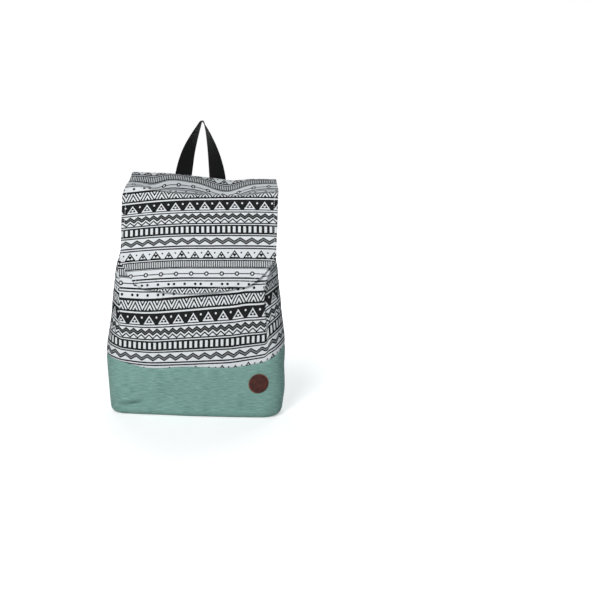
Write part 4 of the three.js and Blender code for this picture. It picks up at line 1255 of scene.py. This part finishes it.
def makeStitchTree():
    tree = bpy.data.node_groups.new("stitch row", "GeometryNodeTree")
    for name, kind in (("Lines", "Geometry"), ("Pitch", "Float"), ("Length", "Float"), ("Width", "Float"),
                       ("Thread", "Material")):
        tree.interface.new_socket(name, in_out="INPUT", socket_type="NodeSocket" + kind)
    tree.interface.new_socket("Stitches", in_out="OUTPUT", socket_type="NodeSocketGeometry")
    given = addNode(tree, "NodeGroupInput").node.outputs
    curve = addNode(tree, "GeometryNodeMeshToCurve", {"Mesh": given["Lines"]})
    places = addNode(tree, "GeometryNodeResampleCurve", {"Curve": curve, "Length": given["Pitch"]},
                     mode="LENGTH")
    tangent = addNode(tree, "GeometryNodeInputTangent")
    along = addNode(tree, "FunctionNodeAlignRotationToVector", {"Vector": tangent}, axis="Z")
    size = addNode(tree, "ShaderNodeCombineXYZ", (given["Width"], given["Width"], given["Length"]))
    one = addNode(tree, "GeometryNodeMeshUVSphere", {"Segments": 8, "Rings": 6, "Radius": 0.5})
    row = addNode(tree, "GeometryNodeInstanceOnPoints",
                  {"Points": places, "Instance": one, "Rotation": along, "Scale": size})
    real = addNode(tree, "GeometryNodeRealizeInstances", {"Geometry": row})
    sewn = addNode(tree, "GeometryNodeSetMaterial", {"Geometry": real, "Material": given["Thread"]})
    addNode(tree, "NodeGroupOutput", {"Stitches": sewn})
    return tree


def makeStitches(name, lines, thread):
    mesh = bpy.data.meshes.new(name)
    starts = np.cumsum([0] + [len(line) for line in lines])
    edges = [(i, i + 1) for start, line in zip(starts, lines) for i in range(start, start + len(line) - 1)]
    mesh.from_pydata((np.concatenate(lines) * mm).tolist(), edges, [])
    piece = bpy.data.objects.new(name, mesh)
    scene.collection.objects.link(piece)
    sewing = piece.modifiers.new("sewing", "NODES")
    sewing.node_group = stitchTree
    values = {"Pitch": stitch["pitch"] * mm, "Length": stitch["length"] * mm,
              "Width": stitch["width"] * mm, "Thread": thread}
    for socket in stitchTree.interface.items_tree:
        if socket.name in values:
            sewing[socket.identifier] = values[socket.name]
    made = bpy.data.meshes.new_from_object(piece.evaluated_get(bpy.context.evaluated_depsgraph_get()))
    piece.modifiers.clear()
    piece.data = made
    made.shade_smooth()
    return piece


# Round the flap, inside its edge
def flapStitchLines():
    face = flapFace + gridNormals(flapFace) * stitch["lift"]
    up, across, inset = runLength(flapFace, 0), runLength(flapFace, 1), stitch["flapInset"]

    def at(place, length, line):
        return np.stack([np.interp(place, length, line[:, axis]) for axis in range(3)])

    inside = [j for j in range(face.shape[1]) if inset < across[0, j] < across[0, -1] - inset]
    rows = [i for i in range(len(face)) if up[i, 0] > inset and up[-1, 0] - up[i, 0] > inset]
    lines = [[at(inset, up[:, j], face[:, j]) for j in inside],
             [at(up[-1, j] - inset, up[:, j], face[:, j]) for j in inside],
             [at(inset, across[i], face[i]) for i in rows],
             [at(across[i, -1] - inset, across[i], face[i]) for i in rows]]
    return [np.array(line) for line in lines]


# A box with its cross, between two ends of a band
def boxLines(low, high, across):
    side, inset = across * stitch["boxHalf"], unit(high - low) * stitch["boxInset"]
    a, b, c, d = low + inset - side, low + inset + side, high - inset + side, high - inset - side
    return [np.array(line) for line in ([a, b, c, d, a], [a, c], [b, d])]


def webbingStitchLines():
    lines, flat = [], np.array([1.0, 0.0, 0.0])
    rear = float(hemOuterY(0.0, handleFoot)) + handle["gap"] + webbingBand["thickness"] + stitch["lift"]
    for x in handleSides:
        low, high = ([x, rear, z] for z in (handleFoot, handleFoot + handle["sewn"] - stitch["endClear"]))
        lines += boxLines(np.array(low), np.array(high), flat)
    tabFace = webbingBand["thickness"] * 1.5 + strap["gap"] - tabWrap + stitch["lift"]
    onTab = [(tabFace, -strap["tab"]), (tabFace, -strap["tab"] * stitch["tabShare"])]
    for seat in seats.values():
        top, end = seat["top"], seat["sewnEnd"]
        out = unit(np.array([top[1] - end[1], end[0] - top[0]])) * (halfWeb + stitch["lift"])
        for pair in ([end + out, top + out], onTab):
            lines += boxLines(*placed(seat, np.array(pair)), seat["axes"][0])
    return lines


stitchTree = makeStitchTree()
flapStitches = makeStitches("flap_edge_stitches", flapStitchLines(), whiteThread)
webbingStitches = makeStitches("webbing_stitches", webbingStitchLines(), blackThread)
print("stitches made")


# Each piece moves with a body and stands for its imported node
def settle(piece, bodyName, slotName, *nodes):
    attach(piece, bodyName)
    if nodes:
        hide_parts(*nodes)


settle(basePiece, "bag", "green_cloth", "base")
settle(frontPanel, "bag", "printed_cotton", "front_panel")
settle(backPanel, "bag", "printed_cotton", "back_panel")
settle(liningPiece, "bag", "lining_cloth", "lining")
settle(flapPiece, "bag", "printed_cotton", "flap")
settle(handlePiece, "bag", "webbing", "carry_handle")
settle(patchPiece, "bag", "leather", "leather_patch")
settle(flapStitches, "bag", "printed_cotton")
settle(webbingStitches, "bag", "webbing")
for side in ("left", "right"):
    settle(bands["shoulder_strap_" + side][0], "bag", "webbing", "shoulder_strap_" + side)
    settle(bands["ring_tab_" + side][0], "bag", "webbing", "ring_tab_" + side)
    settle(rings[side], "ring_" + side, "nickel", "strap_ring_" + side)
    settle(slides[side], "slide_" + side, "nickel", "strap_slide_" + side)
    back = bands["strap_return_" + side][0]              # between the ring and the slide it gives and takes
    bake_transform(back)
    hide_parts("strap_return_" + side)
